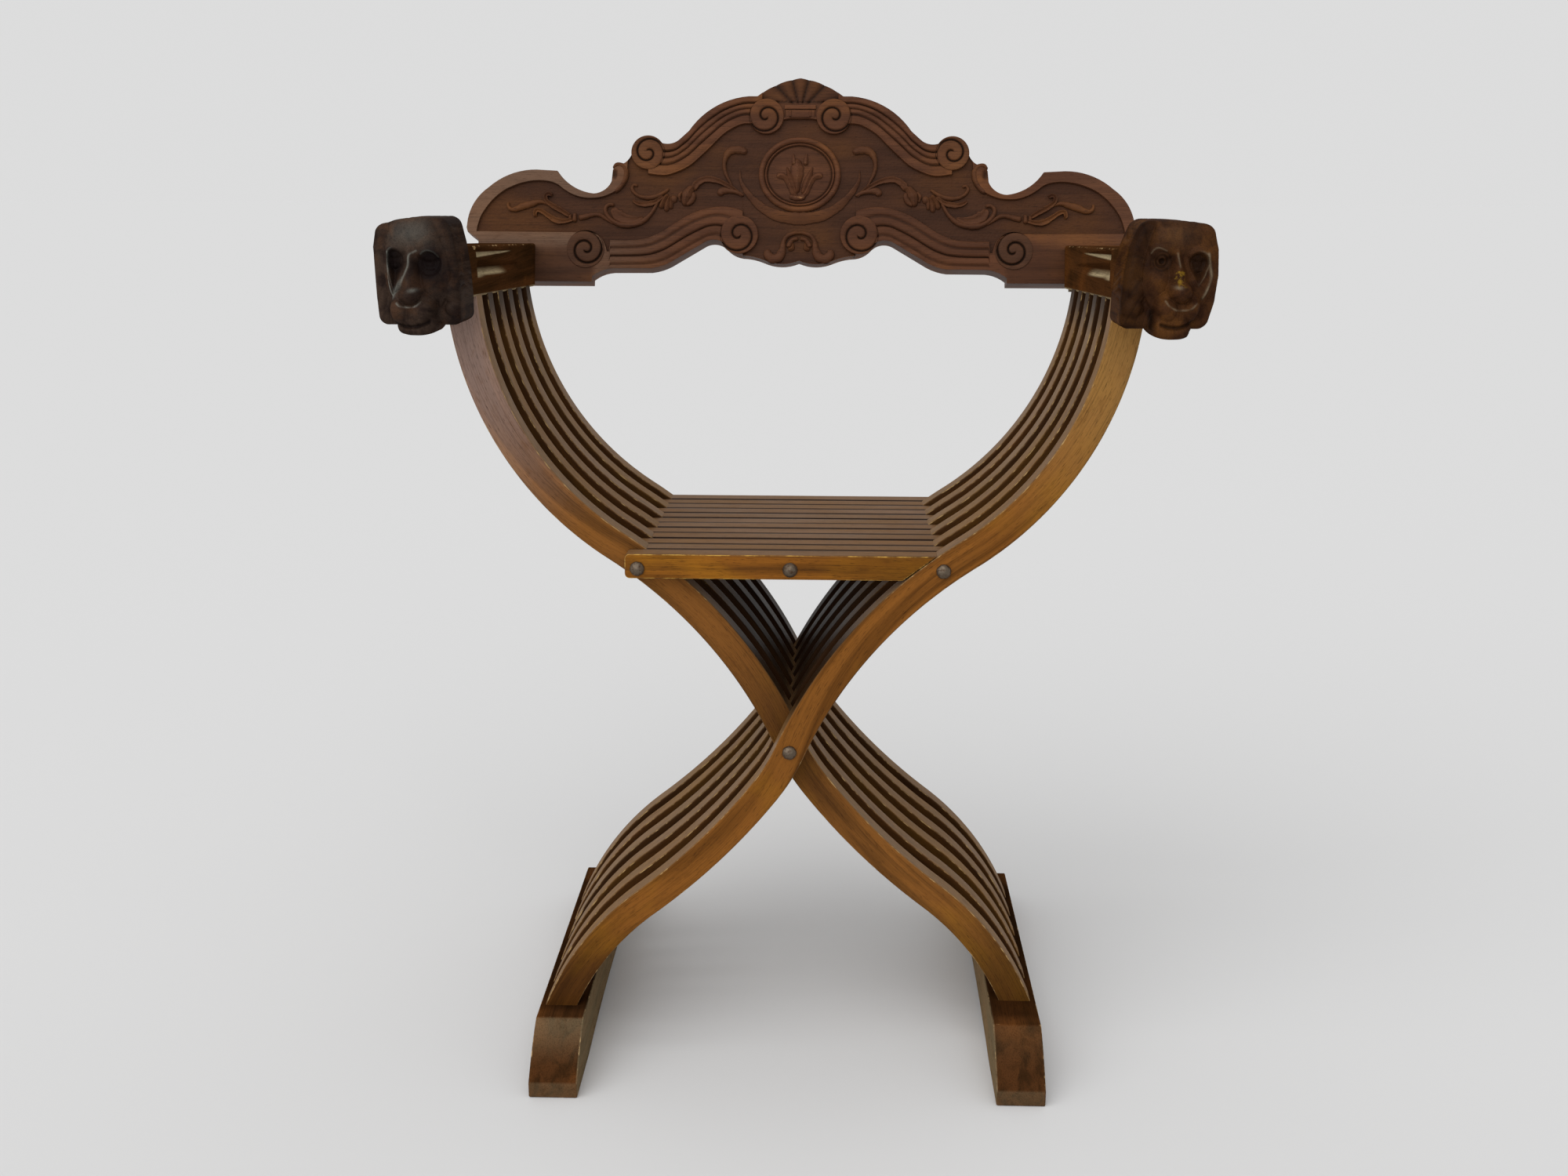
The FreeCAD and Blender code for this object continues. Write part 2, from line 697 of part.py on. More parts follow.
def dome_nut(x, z):
    nut = dome(S.bolt_head_radius, S.bolt_head_rise, x, NUT_FRONT, z, FACING_BACK)
    hole = cylinder(S.bolt_radius + S.bolt_play, S.thread_reach + S.nut_gap + S.overrun,
                    x, NUT_FRONT - S.overrun, z, FACING_BACK)
    return cut(nut, hole)


def make_bolts():
    for bolt, nut, x, z in (("pivot_bolt", "pivot_nut", ZERO, PIVOT_Z),
                            ("seat_bolt_right", "seat_nut_right", SEAT_X, SEAT_Z),
                            ("seat_bolt_left", "seat_nut_left", -SEAT_X, SEAT_Z)):
        piece(bolt, fuse(bolt_head(x, z), shank(SHANK_FRONT, SHANK_BACK, x, z)))
        piece(nut, dome_nut(x, z))
    # The middle seat bolt is held in lengths, one in each seat slat, which stay with the slats.
    lengths = []
    for layer in range(1, 2 * int(S.slat_pairs.number) + 1):
        start = layer_front(layer)
        lengths.append((start, start + S.slat_thickness))
    lengths[0] = (SHANK_FRONT, lengths[0][1])
    lengths[-1] = (lengths[-1][0], SHANK_BACK)
    front, rear = ([shank(start, end, ZERO, SEAT_Z) for start, end in lengths[first::2]]
                   for first in (0, 1))
    front[0] = fuse(bolt_head(ZERO, SEAT_Z), front[0])
    piece("seat_bolt_middle_front", grouped(front))
    piece("seat_bolt_middle_rear", grouped(rear))
    piece("seat_nut_middle", dome_nut(ZERO, SEAT_Z))


def grouped(solids):
    """Separate solids under one name."""
    group = DOC.addObject("Part::Compound", "group")
    group.Links = solids
    return group


# Carved back, its hinge on the left armrest and its turning catch on the right

def panel_sketch(name, start_shares, outline_shares):
    """An outline of the back from its half's shares, mirrored to the other half."""
    def spot(shares, side):
        return (ARM_OUTER * (shares[0] * side), S.panel_height * shares[1])

    stretches = [(way and spot(way, 1), spot(end, 1)) for way, end in outline_shares]
    ends = [start_shares] + [end for _, end in outline_shares]
    for (way, _), end in zip(outline_shares[::-1], ends[-2::-1]):
        stretches.append((way and spot(way, -1), spot(end, -1)))
    return outline(name, FACING_FRONT, spot(start_shares, 1), stretches)


def make_back_panel():
    base = leaning(ZERO, ZERO, ZERO)
    board_outline = panel_sketch("panel_outline", PANEL_START_SHARES, PANEL_OUTLINE_SHARES)
    board = extruded(board_outline, Vector(0, 1, 0), S.panel_thickness, *base, LEAN)
    field_outline = panel_sketch("field_outline", FIELD_START_SHARES, FIELD_OUTLINE_SHARES)
    front = leaning(ZERO, -S.overrun, ZERO)
    field = extruded(field_outline, Vector(0, 1, 0), S.field_depth + S.overrun, *front, LEAN)
    turned = LEAN.multiply(FACING_BACK)
    ring_base = leaning(ZERO, ZERO, S.medallion_height)
    ring = cylinder(S.medallion_radius, S.field_depth + S.overrun, *ring_base, turned)
    inner_base = leaning(ZERO, -S.overrun, S.medallion_height)
    hollow = cylinder(S.medallion_radius - S.ring_width, S.field_depth + S.overrun,
                      *inner_base, turned)
    carved = cut(fuse(cut(board, field), ring), hollow)
    piece("back_panel", cut(carved, *panel_hardware_holes()))


LEAF_TOP = S.leaf_foot + S.leaf_height
HINGE_X = ARM_OUTER + S.knuckle_radius + S.knuckle_play / 2
SCREW_RISES = (S.leaf_foot + S.screw_inset, LEAF_TOP - S.screw_inset)
LEAF_MIDDLE = S.leaf_setback + S.leaf_width / 2
CATCH_BACK = S.panel_thickness / 2


def screw(depth, rise, stand, play=None):
    """A screw from the right into the wood, or with play the hole for it."""
    spot = leaning(ARM_OUTER - S.screw_length, depth, rise)
    if play is not None:
        return cylinder(S.screw_radius + play, S.screw_length + stand + S.overrun, *spot,
                        FACING_RIGHT)
    shank = cylinder(S.screw_radius, S.screw_length + stand, *spot, FACING_RIGHT)
    head_spot = leaning(ARM_OUTER + stand, depth, rise)
    return fuse(shank, dome(S.screw_head_radius, S.screw_head_rise, *head_spot, FACING_RIGHT))


def arm_hardware_holes(side):
    """Holes for the hinge screws in the left arm, for the stud and the stop pin in the right."""
    if side == "left":
        return [screw(-LEAF_MIDDLE - S.panel_gap, rise, ZERO, S.screw_play)
                for rise in SCREW_RISES]
    return [screw(CATCH_BACK - S.catch_span, S.catch_height, ZERO, S.screw_play),
            stop_pin(S.screw_play)]


def stop_pin(play):
    """The iron pin whose end shows under the right armrest, beside the back."""
    y = TAIL - S.stop_inset
    low = arm_underside(y) - S.stop_stand
    return cylinder(S.stop_radius + play, S.stop_stand + S.stop_depth + play,
                    ARM_INNER + S.stop_inset, y, low)


def panel_hardware_holes():
    """Holes in the back's two ends; the hinge end is drawn on the right and mirrored."""
    hinge_holes = [mirrored(screw(LEAF_MIDDLE, rise, ZERO, S.screw_play)) for rise in SCREW_RISES]
    return hinge_holes + [screw(CATCH_BACK, S.catch_height, ZERO, S.screw_play)]


def hinge_leaf(direction, knuckle_from, knuckle_to):
    """A leaf on the outer side; direction is -1 towards the arm and 1 towards the back."""
    near = S.leaf_setback * direction
    far = (S.leaf_setback + S.leaf_width) * direction
    low_depth = near if direction > 0 else far
    shift = ZERO if direction > 0 else -S.panel_gap
    plate = box(*leaning(ARM_OUTER, low_depth + shift, S.leaf_foot), S.leaf_thickness,
                S.leaf_width, S.leaf_height, LEAN)
    solids = [plate]
    for start, end in zip(knuckle_from, knuckle_to):
        height = end - start
        web_depth = (-S.leaf_setback + shift) if direction < 0 else -S.panel_gap / 2
        web = box(*leaning(ARM_OUTER + S.knuckle_play / 2, web_depth, start),
                  S.leaf_thickness, S.leaf_setback + S.panel_gap / 2, height, LEAN)
        tube = cylinder(S.knuckle_radius, height,
                        *leaning(HINGE_X, -S.panel_gap / 2, start), LEAN)
        solids += [web, tube]
    hole = cylinder(S.hinge_pin_radius + S.hinge_pin_play, S.leaf_height + S.overrun * 2,
                    *leaning(HINGE_X, -S.panel_gap / 2, S.leaf_foot - S.overrun), LEAN)
    depth = LEAF_MIDDLE * direction + shift
    holes = [screw(depth, rise, ZERO, S.screw_play) for rise in SCREW_RISES]
    return mirrored(cut(fuse(*solids), hole, *holes))


def make_hinge():
    third = S.leaf_height / 3
    half_play = S.knuckle_play / 2
    low, high = S.leaf_foot + third, S.leaf_foot + third * 2
    piece("hinge_leaf_arm", hinge_leaf(-1, (S.leaf_foot, high + half_play),
                                       (low - half_play, LEAF_TOP)))
    piece("hinge_leaf_back", hinge_leaf(1, (low + half_play,), (high - half_play,)))
    pin = cylinder(S.hinge_pin_radius, S.leaf_height,
                   *leaning(HINGE_X, -S.panel_gap / 2, S.leaf_foot), LEAN)
    piece("hinge_pin", mirrored(pin))
    for name, depth in (("arm", -LEAF_MIDDLE - S.panel_gap), ("back", LEAF_MIDDLE)):
        screws = [mirrored(screw(depth, rise, S.leaf_thickness)) for rise in SCREW_RISES]
        piece(f"hinge_screws_{name}", grouped(screws))


def make_catch():
    """A flat iron catch that hangs on the back's right end and turns forward onto a stud."""
    face = ARM_OUTER + S.catch_gap
    half = S.catch_width / 2
    bar = box(*leaning(face, CATCH_BACK - half, S.catch_height - S.catch_span), S.catch_thickness,
              S.catch_width, S.catch_span, LEAN)
    ends = [cylinder(half, S.catch_thickness, *leaning(face, CATCH_BACK, rise), FACING_RIGHT)
            for rise in (S.catch_height, S.catch_height - S.catch_span)]
    slot_half = S.screw_radius + S.catch_slot_play
    slot_rise = S.catch_height - S.catch_span
    slot = box(*leaning(face - S.catch_gap, CATCH_BACK - half - S.overrun, slot_rise - slot_half),
               S.catch_thickness + S.catch_gap * 2, half + S.overrun, slot_half * 2, LEAN)
    slot_end = cylinder(slot_half, S.catch_thickness + S.catch_gap * 2,
                        *leaning(face - S.catch_gap, CATCH_BACK, slot_rise), FACING_RIGHT)
    hole = screw(CATCH_BACK, S.catch_height, S.catch_gap, S.screw_play)
    piece("back_catch", cut(fuse(bar, *ends), slot, slot_end, hole))
    stand = S.catch_gap * 2 + S.catch_thickness
    piece("catch_screw", screw(CATCH_BACK, S.catch_height, stand))
    piece("catch_stud", screw(CATCH_BACK - S.catch_span, S.catch_height, stand))
    piece("stop_pin", stop_pin(ZERO))


def check_and_write():
    """Stop on a failed feature or a bad solid, then write each piece to its own file."""
    DOC.recompute()
    for feature in DOC.Objects:
        if {"Invalid", "Error"} & set(feature.State):
            raise RuntimeError(f"{feature.Name} {feature.Label}: {feature.State}")
    os.makedirs("parts", exist_ok=True)
    for name, feature in PIECES.items():
        shape = feature.Shape
        if shape.isNull() or not shape.isValid() or not shape.Solids:
            raise RuntimeError(f"{name} has no valid solid")
        shape.exportStep(os.path.join("parts", f"{name}.step"))
    whole = Part.makeCompound([feature.Shape for feature in PIECES.values()]).BoundBox
    print(f"{len(PIECES)} pieces, x {whole.XMin:.2f} to {whole.XMax:.2f},",
          f"y {whole.YMin:.2f} to {whole.YMax:.2f}, z {whole.ZMin:.2f} to {whole.ZMax:.2f}")


make_leg_slats()
make_arms_and_feet()
make_seat_slats()
make_bolts()
make_back_panel()
make_hinge()
make_catch()
check_and_write()
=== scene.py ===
"""A folding X-frame armchair of interlaced walnut slats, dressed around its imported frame.

Sizes are millimetres and angles degrees, unless a name or a docstring says otherwise. Shapes are
worked out in millimetres and written in metres. The front faces -Y, and +Z is up.
"""

import json
import logging
from collections.abc import Sequence
from dataclasses import dataclass, field, replace
from enum import Enum

import bmesh
import bpy
import numpy as np
from mathutils import Matrix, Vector
from numpy import ndarray

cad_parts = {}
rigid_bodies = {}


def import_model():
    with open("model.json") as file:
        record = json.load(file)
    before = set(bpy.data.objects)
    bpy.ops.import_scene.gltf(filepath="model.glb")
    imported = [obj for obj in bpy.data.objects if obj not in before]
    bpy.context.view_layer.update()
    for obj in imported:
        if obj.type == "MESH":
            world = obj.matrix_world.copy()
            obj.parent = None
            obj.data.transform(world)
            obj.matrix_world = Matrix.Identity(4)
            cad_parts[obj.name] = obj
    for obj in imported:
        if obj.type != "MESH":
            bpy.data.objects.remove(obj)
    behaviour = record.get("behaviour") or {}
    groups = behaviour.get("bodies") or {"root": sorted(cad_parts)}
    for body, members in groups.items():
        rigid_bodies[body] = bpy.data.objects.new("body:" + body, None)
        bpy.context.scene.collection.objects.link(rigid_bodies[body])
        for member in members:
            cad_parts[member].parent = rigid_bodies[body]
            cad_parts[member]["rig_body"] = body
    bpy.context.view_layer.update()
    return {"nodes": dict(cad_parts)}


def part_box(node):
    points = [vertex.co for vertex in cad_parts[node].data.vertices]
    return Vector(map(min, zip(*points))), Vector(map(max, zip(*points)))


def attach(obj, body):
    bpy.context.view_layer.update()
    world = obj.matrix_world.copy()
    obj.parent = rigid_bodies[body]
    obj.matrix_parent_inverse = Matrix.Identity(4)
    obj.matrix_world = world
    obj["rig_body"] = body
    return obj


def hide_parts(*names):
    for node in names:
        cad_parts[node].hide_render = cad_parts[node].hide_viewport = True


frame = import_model()

METRES = 0.001
LOG = logging.getLogger("armchair")


class Side(Enum):
    """The sitter's sides are named as the picture shows them: left is -X."""

    LEFT = -1
    RIGHT = 1

    @property
    def word(self) -> str:
        """The side's name in a node or piece name."""
        return self.name.lower()

    @property
    def other(self) -> "Side":
        """The opposite side."""
        return Side(-self.value)


def node_box(node: str) -> tuple[ndarray, ndarray]:
    """A CAD node's lowest and highest corners in millimetres."""
    low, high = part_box(node)
    return np.array(low) / METRES, np.array(high) / METRES


def smooth(value: ndarray, start: float, end: float) -> ndarray:
    """A soft step: 0 before start, 1 after end, with the cubic 3t^2 - 2t^3 between them."""
    share = np.clip((value - start) / (end - start), 0, 1)
    return share * share * (3 - 2 * share)


def within(value: ndarray, start: float, full: float, ebb: float, end: float) -> ndarray:
    """A soft plateau: it rises from start to full, and falls from ebb to end."""
    return smooth(value, start, full) * (1 - smooth(value, ebb, end))


def bell(away: ndarray, width: float) -> ndarray:
    """A soft peak: exp(-(away / width)^2), which is 1 where away is 0."""
    return np.exp(-(away / width) ** 2)


def round_over(corner: float, steps: int = 5) -> tuple[ndarray, ndarray]:
    """A quarter round: places corner (1 - cos a) from its end, and insets corner (1 - sin a)."""
    turn = np.radians(np.linspace(0, 90, steps))
    return corner * (1 - np.cos(turn)), corner * (1 - np.sin(turn))


def full_turn(count: int) -> ndarray:
    """Equal steps once round a circle, in radians."""
    return np.linspace(0, 2 * np.pi, count, endpoint=False)


def at_depth(flat: ndarray, depth: ndarray | float) -> ndarray:
    """Places across and up, carried to a depth: rows of x, y and z."""
    return np.stack([flat[..., 0], np.broadcast_to(depth, flat.shape[:-1]), flat[..., 1]], axis=-1)


def unit(vectors: ndarray) -> ndarray:
    """Vectors scaled to length one along their last axis."""
    return vectors / np.maximum(np.linalg.norm(vectors, axis=-1, keepdims=True), 1e-9)


# Skins and meshes


@dataclass
class Skin:
    """Points and faces in millimetres, with values that the finishes read.

    Attributes:
        points: One row of x, y and z per point.
        corners: The point numbers of all faces, one face after another.
        sizes: The number of corners of each face.
        values: Named values with one number, or one row of three, per point.
    """

    points: ndarray
    corners: ndarray
    sizes: ndarray
    values: dict[str, ndarray] = field(default_factory=dict)

    def mirrored(self) -> "Skin":
        """The same skin on the other side of the chair."""
        return Skin(self.points * (-1, 1, 1), self.corners, self.sizes, self.values)

    def on(self, side: Side) -> "Skin":
        """The skin of a right piece, or its mirror image for the left."""
        return self if side is Side.RIGHT else self.mirrored()

    @staticmethod
    def joined(skins: Sequence["Skin"]) -> "Skin":
        """Several skins in one, each still closed by itself."""
        shifts = np.cumsum([0] + [len(skin.points) for skin in skins[:-1]])
        values = {name: np.concatenate([skin.values[name] for skin in skins])
                  for name in skins[0].values}
        return Skin(np.concatenate([skin.points for skin in skins]),
                    np.concatenate([skin.corners + shift for skin, shift in zip(skins, shifts)]),
                    np.concatenate([skin.sizes for skin in skins]), values)


def grid_corners(rows: int, columns: int, wrap: bool) -> ndarray:
    """Point numbers of a grid's faces, four per row of the result.

    Args:
        rows: Points along the grid.
        columns: Points across it.
        wrap: Whether the last column joins the first.

    Returns:
        One row of four point numbers per face.
    """
    last = columns if wrap else columns - 1
    row, column = np.meshgrid(np.arange(rows - 1), np.arange(last), indexing="ij")
    here = row * columns + column
    beside = row * columns + (column + 1) % columns
    return np.stack([here, here + columns, beside + columns, beside], axis=-1).reshape(-1, 4)


def closed_tube(rings: ndarray, values: dict[str, ndarray]) -> Skin:
    """A skin over rings of points, with a flat face on its first and last ring.

    Args:
        rings: Points with the shape rings, points per ring, 3.
        values: Named values with the shape rings, points per ring, or with a last axis of 3.

    Returns:
        The closed skin.
    """
    count, around, _ = rings.shape
    sides = grid_corners(count, around, wrap=True)
    first = np.arange(around)
    last = first[::-1] + (count - 1) * around
    corners = np.concatenate([sides.ravel(), first, last])
    sizes = np.concatenate([np.full(len(sides), 4), [around, around]])
    flat = {name: value.reshape(count * around, -1).squeeze(-1) if value.ndim == 2
            else value.reshape(count * around, 3) for name, value in values.items()}
    return Skin(rings.reshape(-1, 3), corners, sizes, flat)


def add_piece(name: str, skin: Skin, finish: bpy.types.Material, body: str,
              replaces: Sequence[str] = (), crease: float = 50.0) -> bpy.types.Object:
    """Write a skin to a mesh that rides on a body.

    Args:
        name: The piece's name.
        skin: Its points, faces and values.
        finish: The material on all of it.
        body: The CAD body that carries it.
        replaces: CAD nodes that it stands for.
        crease: Edges that turn more than this stay sharp, in degrees.

    Returns:
        The new object.
    """
    mesh = bpy.data.meshes.new(name)
    starts = np.concatenate([[0], np.cumsum(skin.sizes)[:-1]])
    mesh.vertices.add(len(skin.points))
    mesh.vertices.foreach_set("co", (skin.points * METRES).astype(np.float32).ravel())
    mesh.loops.add(len(skin.corners))
    mesh.loops.foreach_set("vertex_index", skin.corners.astype(np.int32))
    mesh.polygons.add(len(skin.sizes))
    mesh.polygons.foreach_set("loop_start", starts.astype(np.int32))
    mesh.update(calc_edges=True)
    for label, value in skin.values.items():
        if value.ndim == 1:
            layer = mesh.attributes.new(label, "FLOAT", "POINT")
            layer.data.foreach_set("value", value.astype(np.float32))
        else:
            layer = mesh.attributes.new(label, "FLOAT_VECTOR", "POINT")
            layer.data.foreach_set("vector", (value * METRES).astype(np.float32).ravel())
    shell = bmesh.new()
    shell.from_mesh(mesh)
    bmesh.ops.recalc_face_normals(shell, faces=shell.faces)
    shell.to_mesh(mesh)
    shell.free()
    mesh.polygons.foreach_set("use_smooth", np.ones(len(mesh.polygons), bool))
    mesh.set_sharp_from_angle(angle=np.radians(crease))
    mesh.materials.append(finish)
    piece = bpy.data.objects.new(name, mesh)
    bpy.context.scene.collection.objects.link(piece)
    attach(piece, body)
    if replaces:
        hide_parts(*replaces)
    LOG.info("%s: %d points, %d faces, on %s", name, len(skin.points), len(skin.sizes), body)
    return piece


# Finishes


def linear(code: str) -> tuple[float, float, float, float]:
    """A hex sRGB colour such as #7d5220 as the linear values that shaders take."""
    parts = np.array([int(code[at:at + 2], 16) for at in (1, 3, 5)]) / 255
    shades = np.where(parts <= 0.04045, parts / 12.92, ((parts + 0.055) / 1.055) ** 2.4)
    return (*shades.tolist(), 1.0)


def add_node(tree: bpy.types.NodeTree, kind: str, inputs: dict | None = None,
             **settings: object) -> bpy.types.Node:
    """Add a node with its settings, and fill its inputs.

    Args:
        tree: The material's node tree.
        kind: The node's type without its ShaderNode prefix.
        inputs: For an input's name or number, a socket to link from or a plain value.
        settings: The node's own properties.

    Returns:
        The new node.
    """
    node = tree.nodes.new("ShaderNode" + kind)
    for name, value in settings.items():
        setattr(node, name, value)
    for name, value in (inputs or {}).items():
        if isinstance(value, bpy.types.NodeSocket):
            tree.links.new(value, node.inputs[name])
        else:
            node.inputs[name].default_value = value
    return node


MIX_FACTOR, MIX_FROM, MIX_TO, MIX_RESULT = 0, 6, 7, 2


def mixed(tree: bpy.types.NodeTree, share: object, start: object, end: object) -> object:
    """A colour between two colours, by a share from 0 to 1; returns its socket."""
    inputs = {MIX_FACTOR: share, MIX_FROM: start, MIX_TO: end}
    return add_node(tree, "Mix", inputs, data_type="RGBA").outputs[MIX_RESULT]


def sum_of(tree: bpy.types.NodeTree, operation: str, first: object, second: object) -> object:
    """The socket of one sum of two values, such as ADD or MULTIPLY."""
    return add_node(tree, "Math", {0: first, 1: second}, operation=operation).outputs[0]


def ranged(tree: bpy.types.NodeTree, value: object, low: float, high: float,
           low_result: float = 0.0, high_result: float = 1.0) -> object:
    """A value softly stepped from one result to another between two limits; returns its socket."""
    inputs = {"Value": value, "From Min": low, "From Max": high, "To Min": low_result,
              "To Max": high_result}
    return add_node(tree, "MapRange", inputs, interpolation_type="SMOOTHSTEP").outputs[0]


def noise(tree: bpy.types.NodeTree, place: object, cell: tuple[float, float, float],
          detail: float = 3.0, rough: float = 0.55, bend: float = 0.0) -> object:
    """A cloud pattern; returns the socket of its value.

    Args:
        tree: The material's node tree.
        place: The socket of the coordinates, in metres.
        cell: The pattern's size along each axis.
        detail: Finer octaves on top of it.
        rough: The strength of those octaves.
        bend: How far the pattern distorts itself.

    Returns:
        The socket of a value near 0.5, from 0 to 1.
    """
    scale = tuple(1 / (size * METRES) for size in cell)
    scaled = add_node(tree, "VectorMath", {0: place, 1: scale}, operation="MULTIPLY")
    return add_node(tree, "TexNoise", {"Vector": scaled.outputs[0], "Scale": 1.0, "Detail": detail,
                                       "Roughness": rough, "Distortion": bend}).outputs[0]


def surface(name: str) -> tuple[bpy.types.Material, bpy.types.NodeTree, bpy.types.Node]:
    """A new material with its tree and its main shader."""
    material = bpy.data.materials.new(name)
    material.use_nodes = True
    tree = material.node_tree
    return material, tree, tree.nodes["Principled BSDF"]


@dataclass(frozen=True)
class WoodFinish:
    """Walnut, stained, finished with wax and handled for decades.

    The grain runs along the first axis of a piece's grain value. The eye sees long soft streaks,
    short dark pores, warmer patches where the wax has rubbed thin, narrow edges greyed by dust and
    painted sheen, pale bare wood on worn corners, and dark wax in what is carved. Pieces also paint
    shade, sheen, glare and highlights into these tones.

    Attributes:
        name: The finish's name.
        heart: The main tone.
        streak: The darker figure.
        glow: Warm patches.
        edge: Narrow edges greyed by dust and painted sheen; also painted highlights and glare.
        bare: Worn corners.
        packed: Old wax in pores and recesses, and painted shade.
        roughness: Of the wax.
        coat: Weight of the polish on top of it.
        sheen: Strength of its reflections, 0.5 for bare varnish and less for dull wax.
        wear: How far the bare wood spreads from the corners.
        patch: Size of the warm patches.
        punch: Depth of the punched ground, or nothing where the wood has none.
        bleach: Tone of painted sheen and sun fade, or nothing where there is none.
    """

    name: str
    heart: str
    streak: str
    glow: str
    edge: str
    bare: str
    packed: str
    roughness: float = 0.42
    coat: float = 0.0
    sheen: float = 0.05
    wear: float = 0.5
    patch: float = 60.0
    punch: float = 0.0
    bleach: str = ""

    def build(self) -> bpy.types.Material:
        """Make the material.

        Returns:
            The finished material.
        """
        material, tree, shader = surface(self.name)
        grain = add_node(tree, "Attribute", attribute_name="grain").outputs["Vector"]
        figure = noise(tree, grain, (260, 13, 13), detail=3, bend=0.6)
        # Real walnut has streaks of 0.3 mm, drawn three times as wide so that they show.
        streaks = noise(tree, grain, (70, 1.0, 1.0), detail=2, rough=0.6)
        pores = noise(tree, grain, (7, 0.55, 0.55), detail=1)
        patches = noise(tree, grain, (self.patch * 2, self.patch, self.patch), detail=3)
        rubbing = noise(tree, grain, (9, 5, 5), detail=4, rough=0.65)
        mottle = noise(tree, grain, (16, 7, 7), detail=4, rough=0.62, bend=0.4)
        edge, deep, worn = (add_node(tree, "Attribute", attribute_name=name).outputs["Fac"]
                            for name in ("edge", "deep", "worn"))
        spread = sum_of(tree, "ADD", sum_of(tree, "MULTIPLY", worn, self.wear), rubbing)
        layers = [(ranged(tree, figure, 0.38, 0.66), self.streak),
                  (ranged(tree, patches, 0.46, 0.68, 0, 0.8), self.glow), (edge, self.edge)]
        if self.bleach:
            faded = add_node(tree, "Attribute", attribute_name="faded").outputs["Fac"]
            layers.append((faded, self.bleach))
        layers += [(ranged(tree, mottle, 0.5, 0.72, 0, 0.3), self.streak),
                   (ranged(tree, streaks, 0.45, 0.75, 0, 0.34), self.packed),
                   (ranged(tree, pores, 0.6, 0.72, 0, 0.5), self.packed), (deep, self.packed),
                   (ranged(tree, spread, 0.86, 1.02, 0, 0.85), self.bare)]
        colour = linear(self.heart)
        for share, tone in layers:
            colour = mixed(tree, share, colour, linear(tone))
        tree.links.new(colour, shader.inputs["Base Color"])
        rough = ranged(tree, patches, 0.3, 0.7, self.roughness - 0.06, self.roughness + 0.08)
        tree.links.new(rough, shader.inputs["Roughness"])
        for name, value in (("Coat Weight", self.coat), ("Coat Roughness", 0.2), ("IOR", 1.5),
                            ("Specular IOR Level", self.sheen)):
            shader.inputs[name].default_value = value
        height = sum_of(tree, "ADD", sum_of(tree, "MULTIPLY", streaks, 0.5),
                        sum_of(tree, "MULTIPLY", pores, 0.6))
        bump = add_node(tree, "Bump", {"Strength": 0.35, "Distance": 0.0003, "Height": height})
        normal = bump.outputs[0]
        if self.punch:
            place = add_node(tree, "TexCoord").outputs["Object"]
            dots = add_node(tree, "TexVoronoi", {"Vector": place, "Scale": 1 / (2.3 * METRES)},
                            feature="SMOOTH_F1").outputs["Distance"]
            pit = sum_of(tree, "MULTIPLY", ranged(tree, dots, 0.15, 0.6),
                         ranged(tree, deep, 0.37, 0.5))
            bump = add_node(tree, "Bump", {"Strength": 0.8, "Distance": self.punch * METRES,
                                           "Height": pit, "Normal": normal})
            normal = bump.outputs[0]
        tree.links.new(normal, shader.inputs["Normal"])
        return material


@dataclass(frozen=True)
class IronFinish:
    """Blackened wrought iron, oiled, with a little rust.

    The eye sees a dark brown-grey metal with soft hammered highlights and redder spots.

    Attributes:
        name: The finish's name.
        scale: The black forge scale.
        rust: The redder spots.
        roughness: Of the bare metal.
    """

    name: str
    scale: str
    rust: str
    roughness: float

    def build(self) -> bpy.types.Material:
        """Make the material.

        Returns:
            The finished material.
        """
        material, tree, shader = surface(self.name)
        place = add_node(tree, "TexCoord").outputs["Object"]
        spots = noise(tree, place, (3, 3, 3), detail=4, rough=0.6)
        dents = noise(tree, place, (2.6, 2.6, 2.6), detail=1)
        colour = mixed(tree, ranged(tree, spots, 0.5, 0.68, 0, 0.8), linear(self.scale),
                       linear(self.rust))
        tree.links.new(colour, shader.inputs["Base Color"])
        tree.links.new(ranged(tree, spots, 0.35, 0.7, self.roughness, self.roughness + 0.25),
                       shader.inputs["Roughness"])
        shader.inputs["Metallic"].default_value = 1.0
        bump = add_node(tree, "Bump", {"Strength": 0.5, "Distance": 0.0006, "Height": dents})
        tree.links.new(bump.outputs[0], shader.inputs["Normal"])
        return material


# Edge tones of legs and seat: narrow edges greyed by dust and painted sheen.
LEG_WALNUT = WoodFinish("leg_walnut_waxed", heart="#7f4f1e", streak="#5c3711", glow="#8f5f18",
                        edge="#7d6242", bare="#a98b5c", packed="#1d0f06", roughness=0.5,
                        wear=0.42)
# Each front leg slat pales towards its armrest in painted sheen and sun fade.
FRONT_WALNUT = {
    Side.LEFT: replace(LEG_WALNUT, name="leg_walnut_greyed", bleach="#917c74"),
    Side.RIGHT: replace(LEG_WALNUT, name="leg_walnut_bleached", bleach="#96713f")}
# Strength of the painted shade beside the crossing, where the left front slat lies behind the
# right.
FRONT_CROSSING_SHADE = {Side.LEFT: 0.58, Side.RIGHT: 0.12}
SEAT_WALNUT = WoodFinish("seat_walnut_waxed", heart="#845017", streak="#603910", glow="#986216",
                         edge="#76583a", bare="#c49a48", packed="#1b0e06", roughness=0.5,
                         wear=0.48)
# Its edge tone is painted highlight on the armrests' flutes and painted sheen on the runners.
ARM_WALNUT = WoodFinish("arm_walnut_waxed", heart="#4b2e18", streak="#332010", glow="#633b1b",
                        edge="#b8a682", bare="#b3956a", packed="#150b05", roughness=0.55,
                        wear=0.4, sheen=0.0)
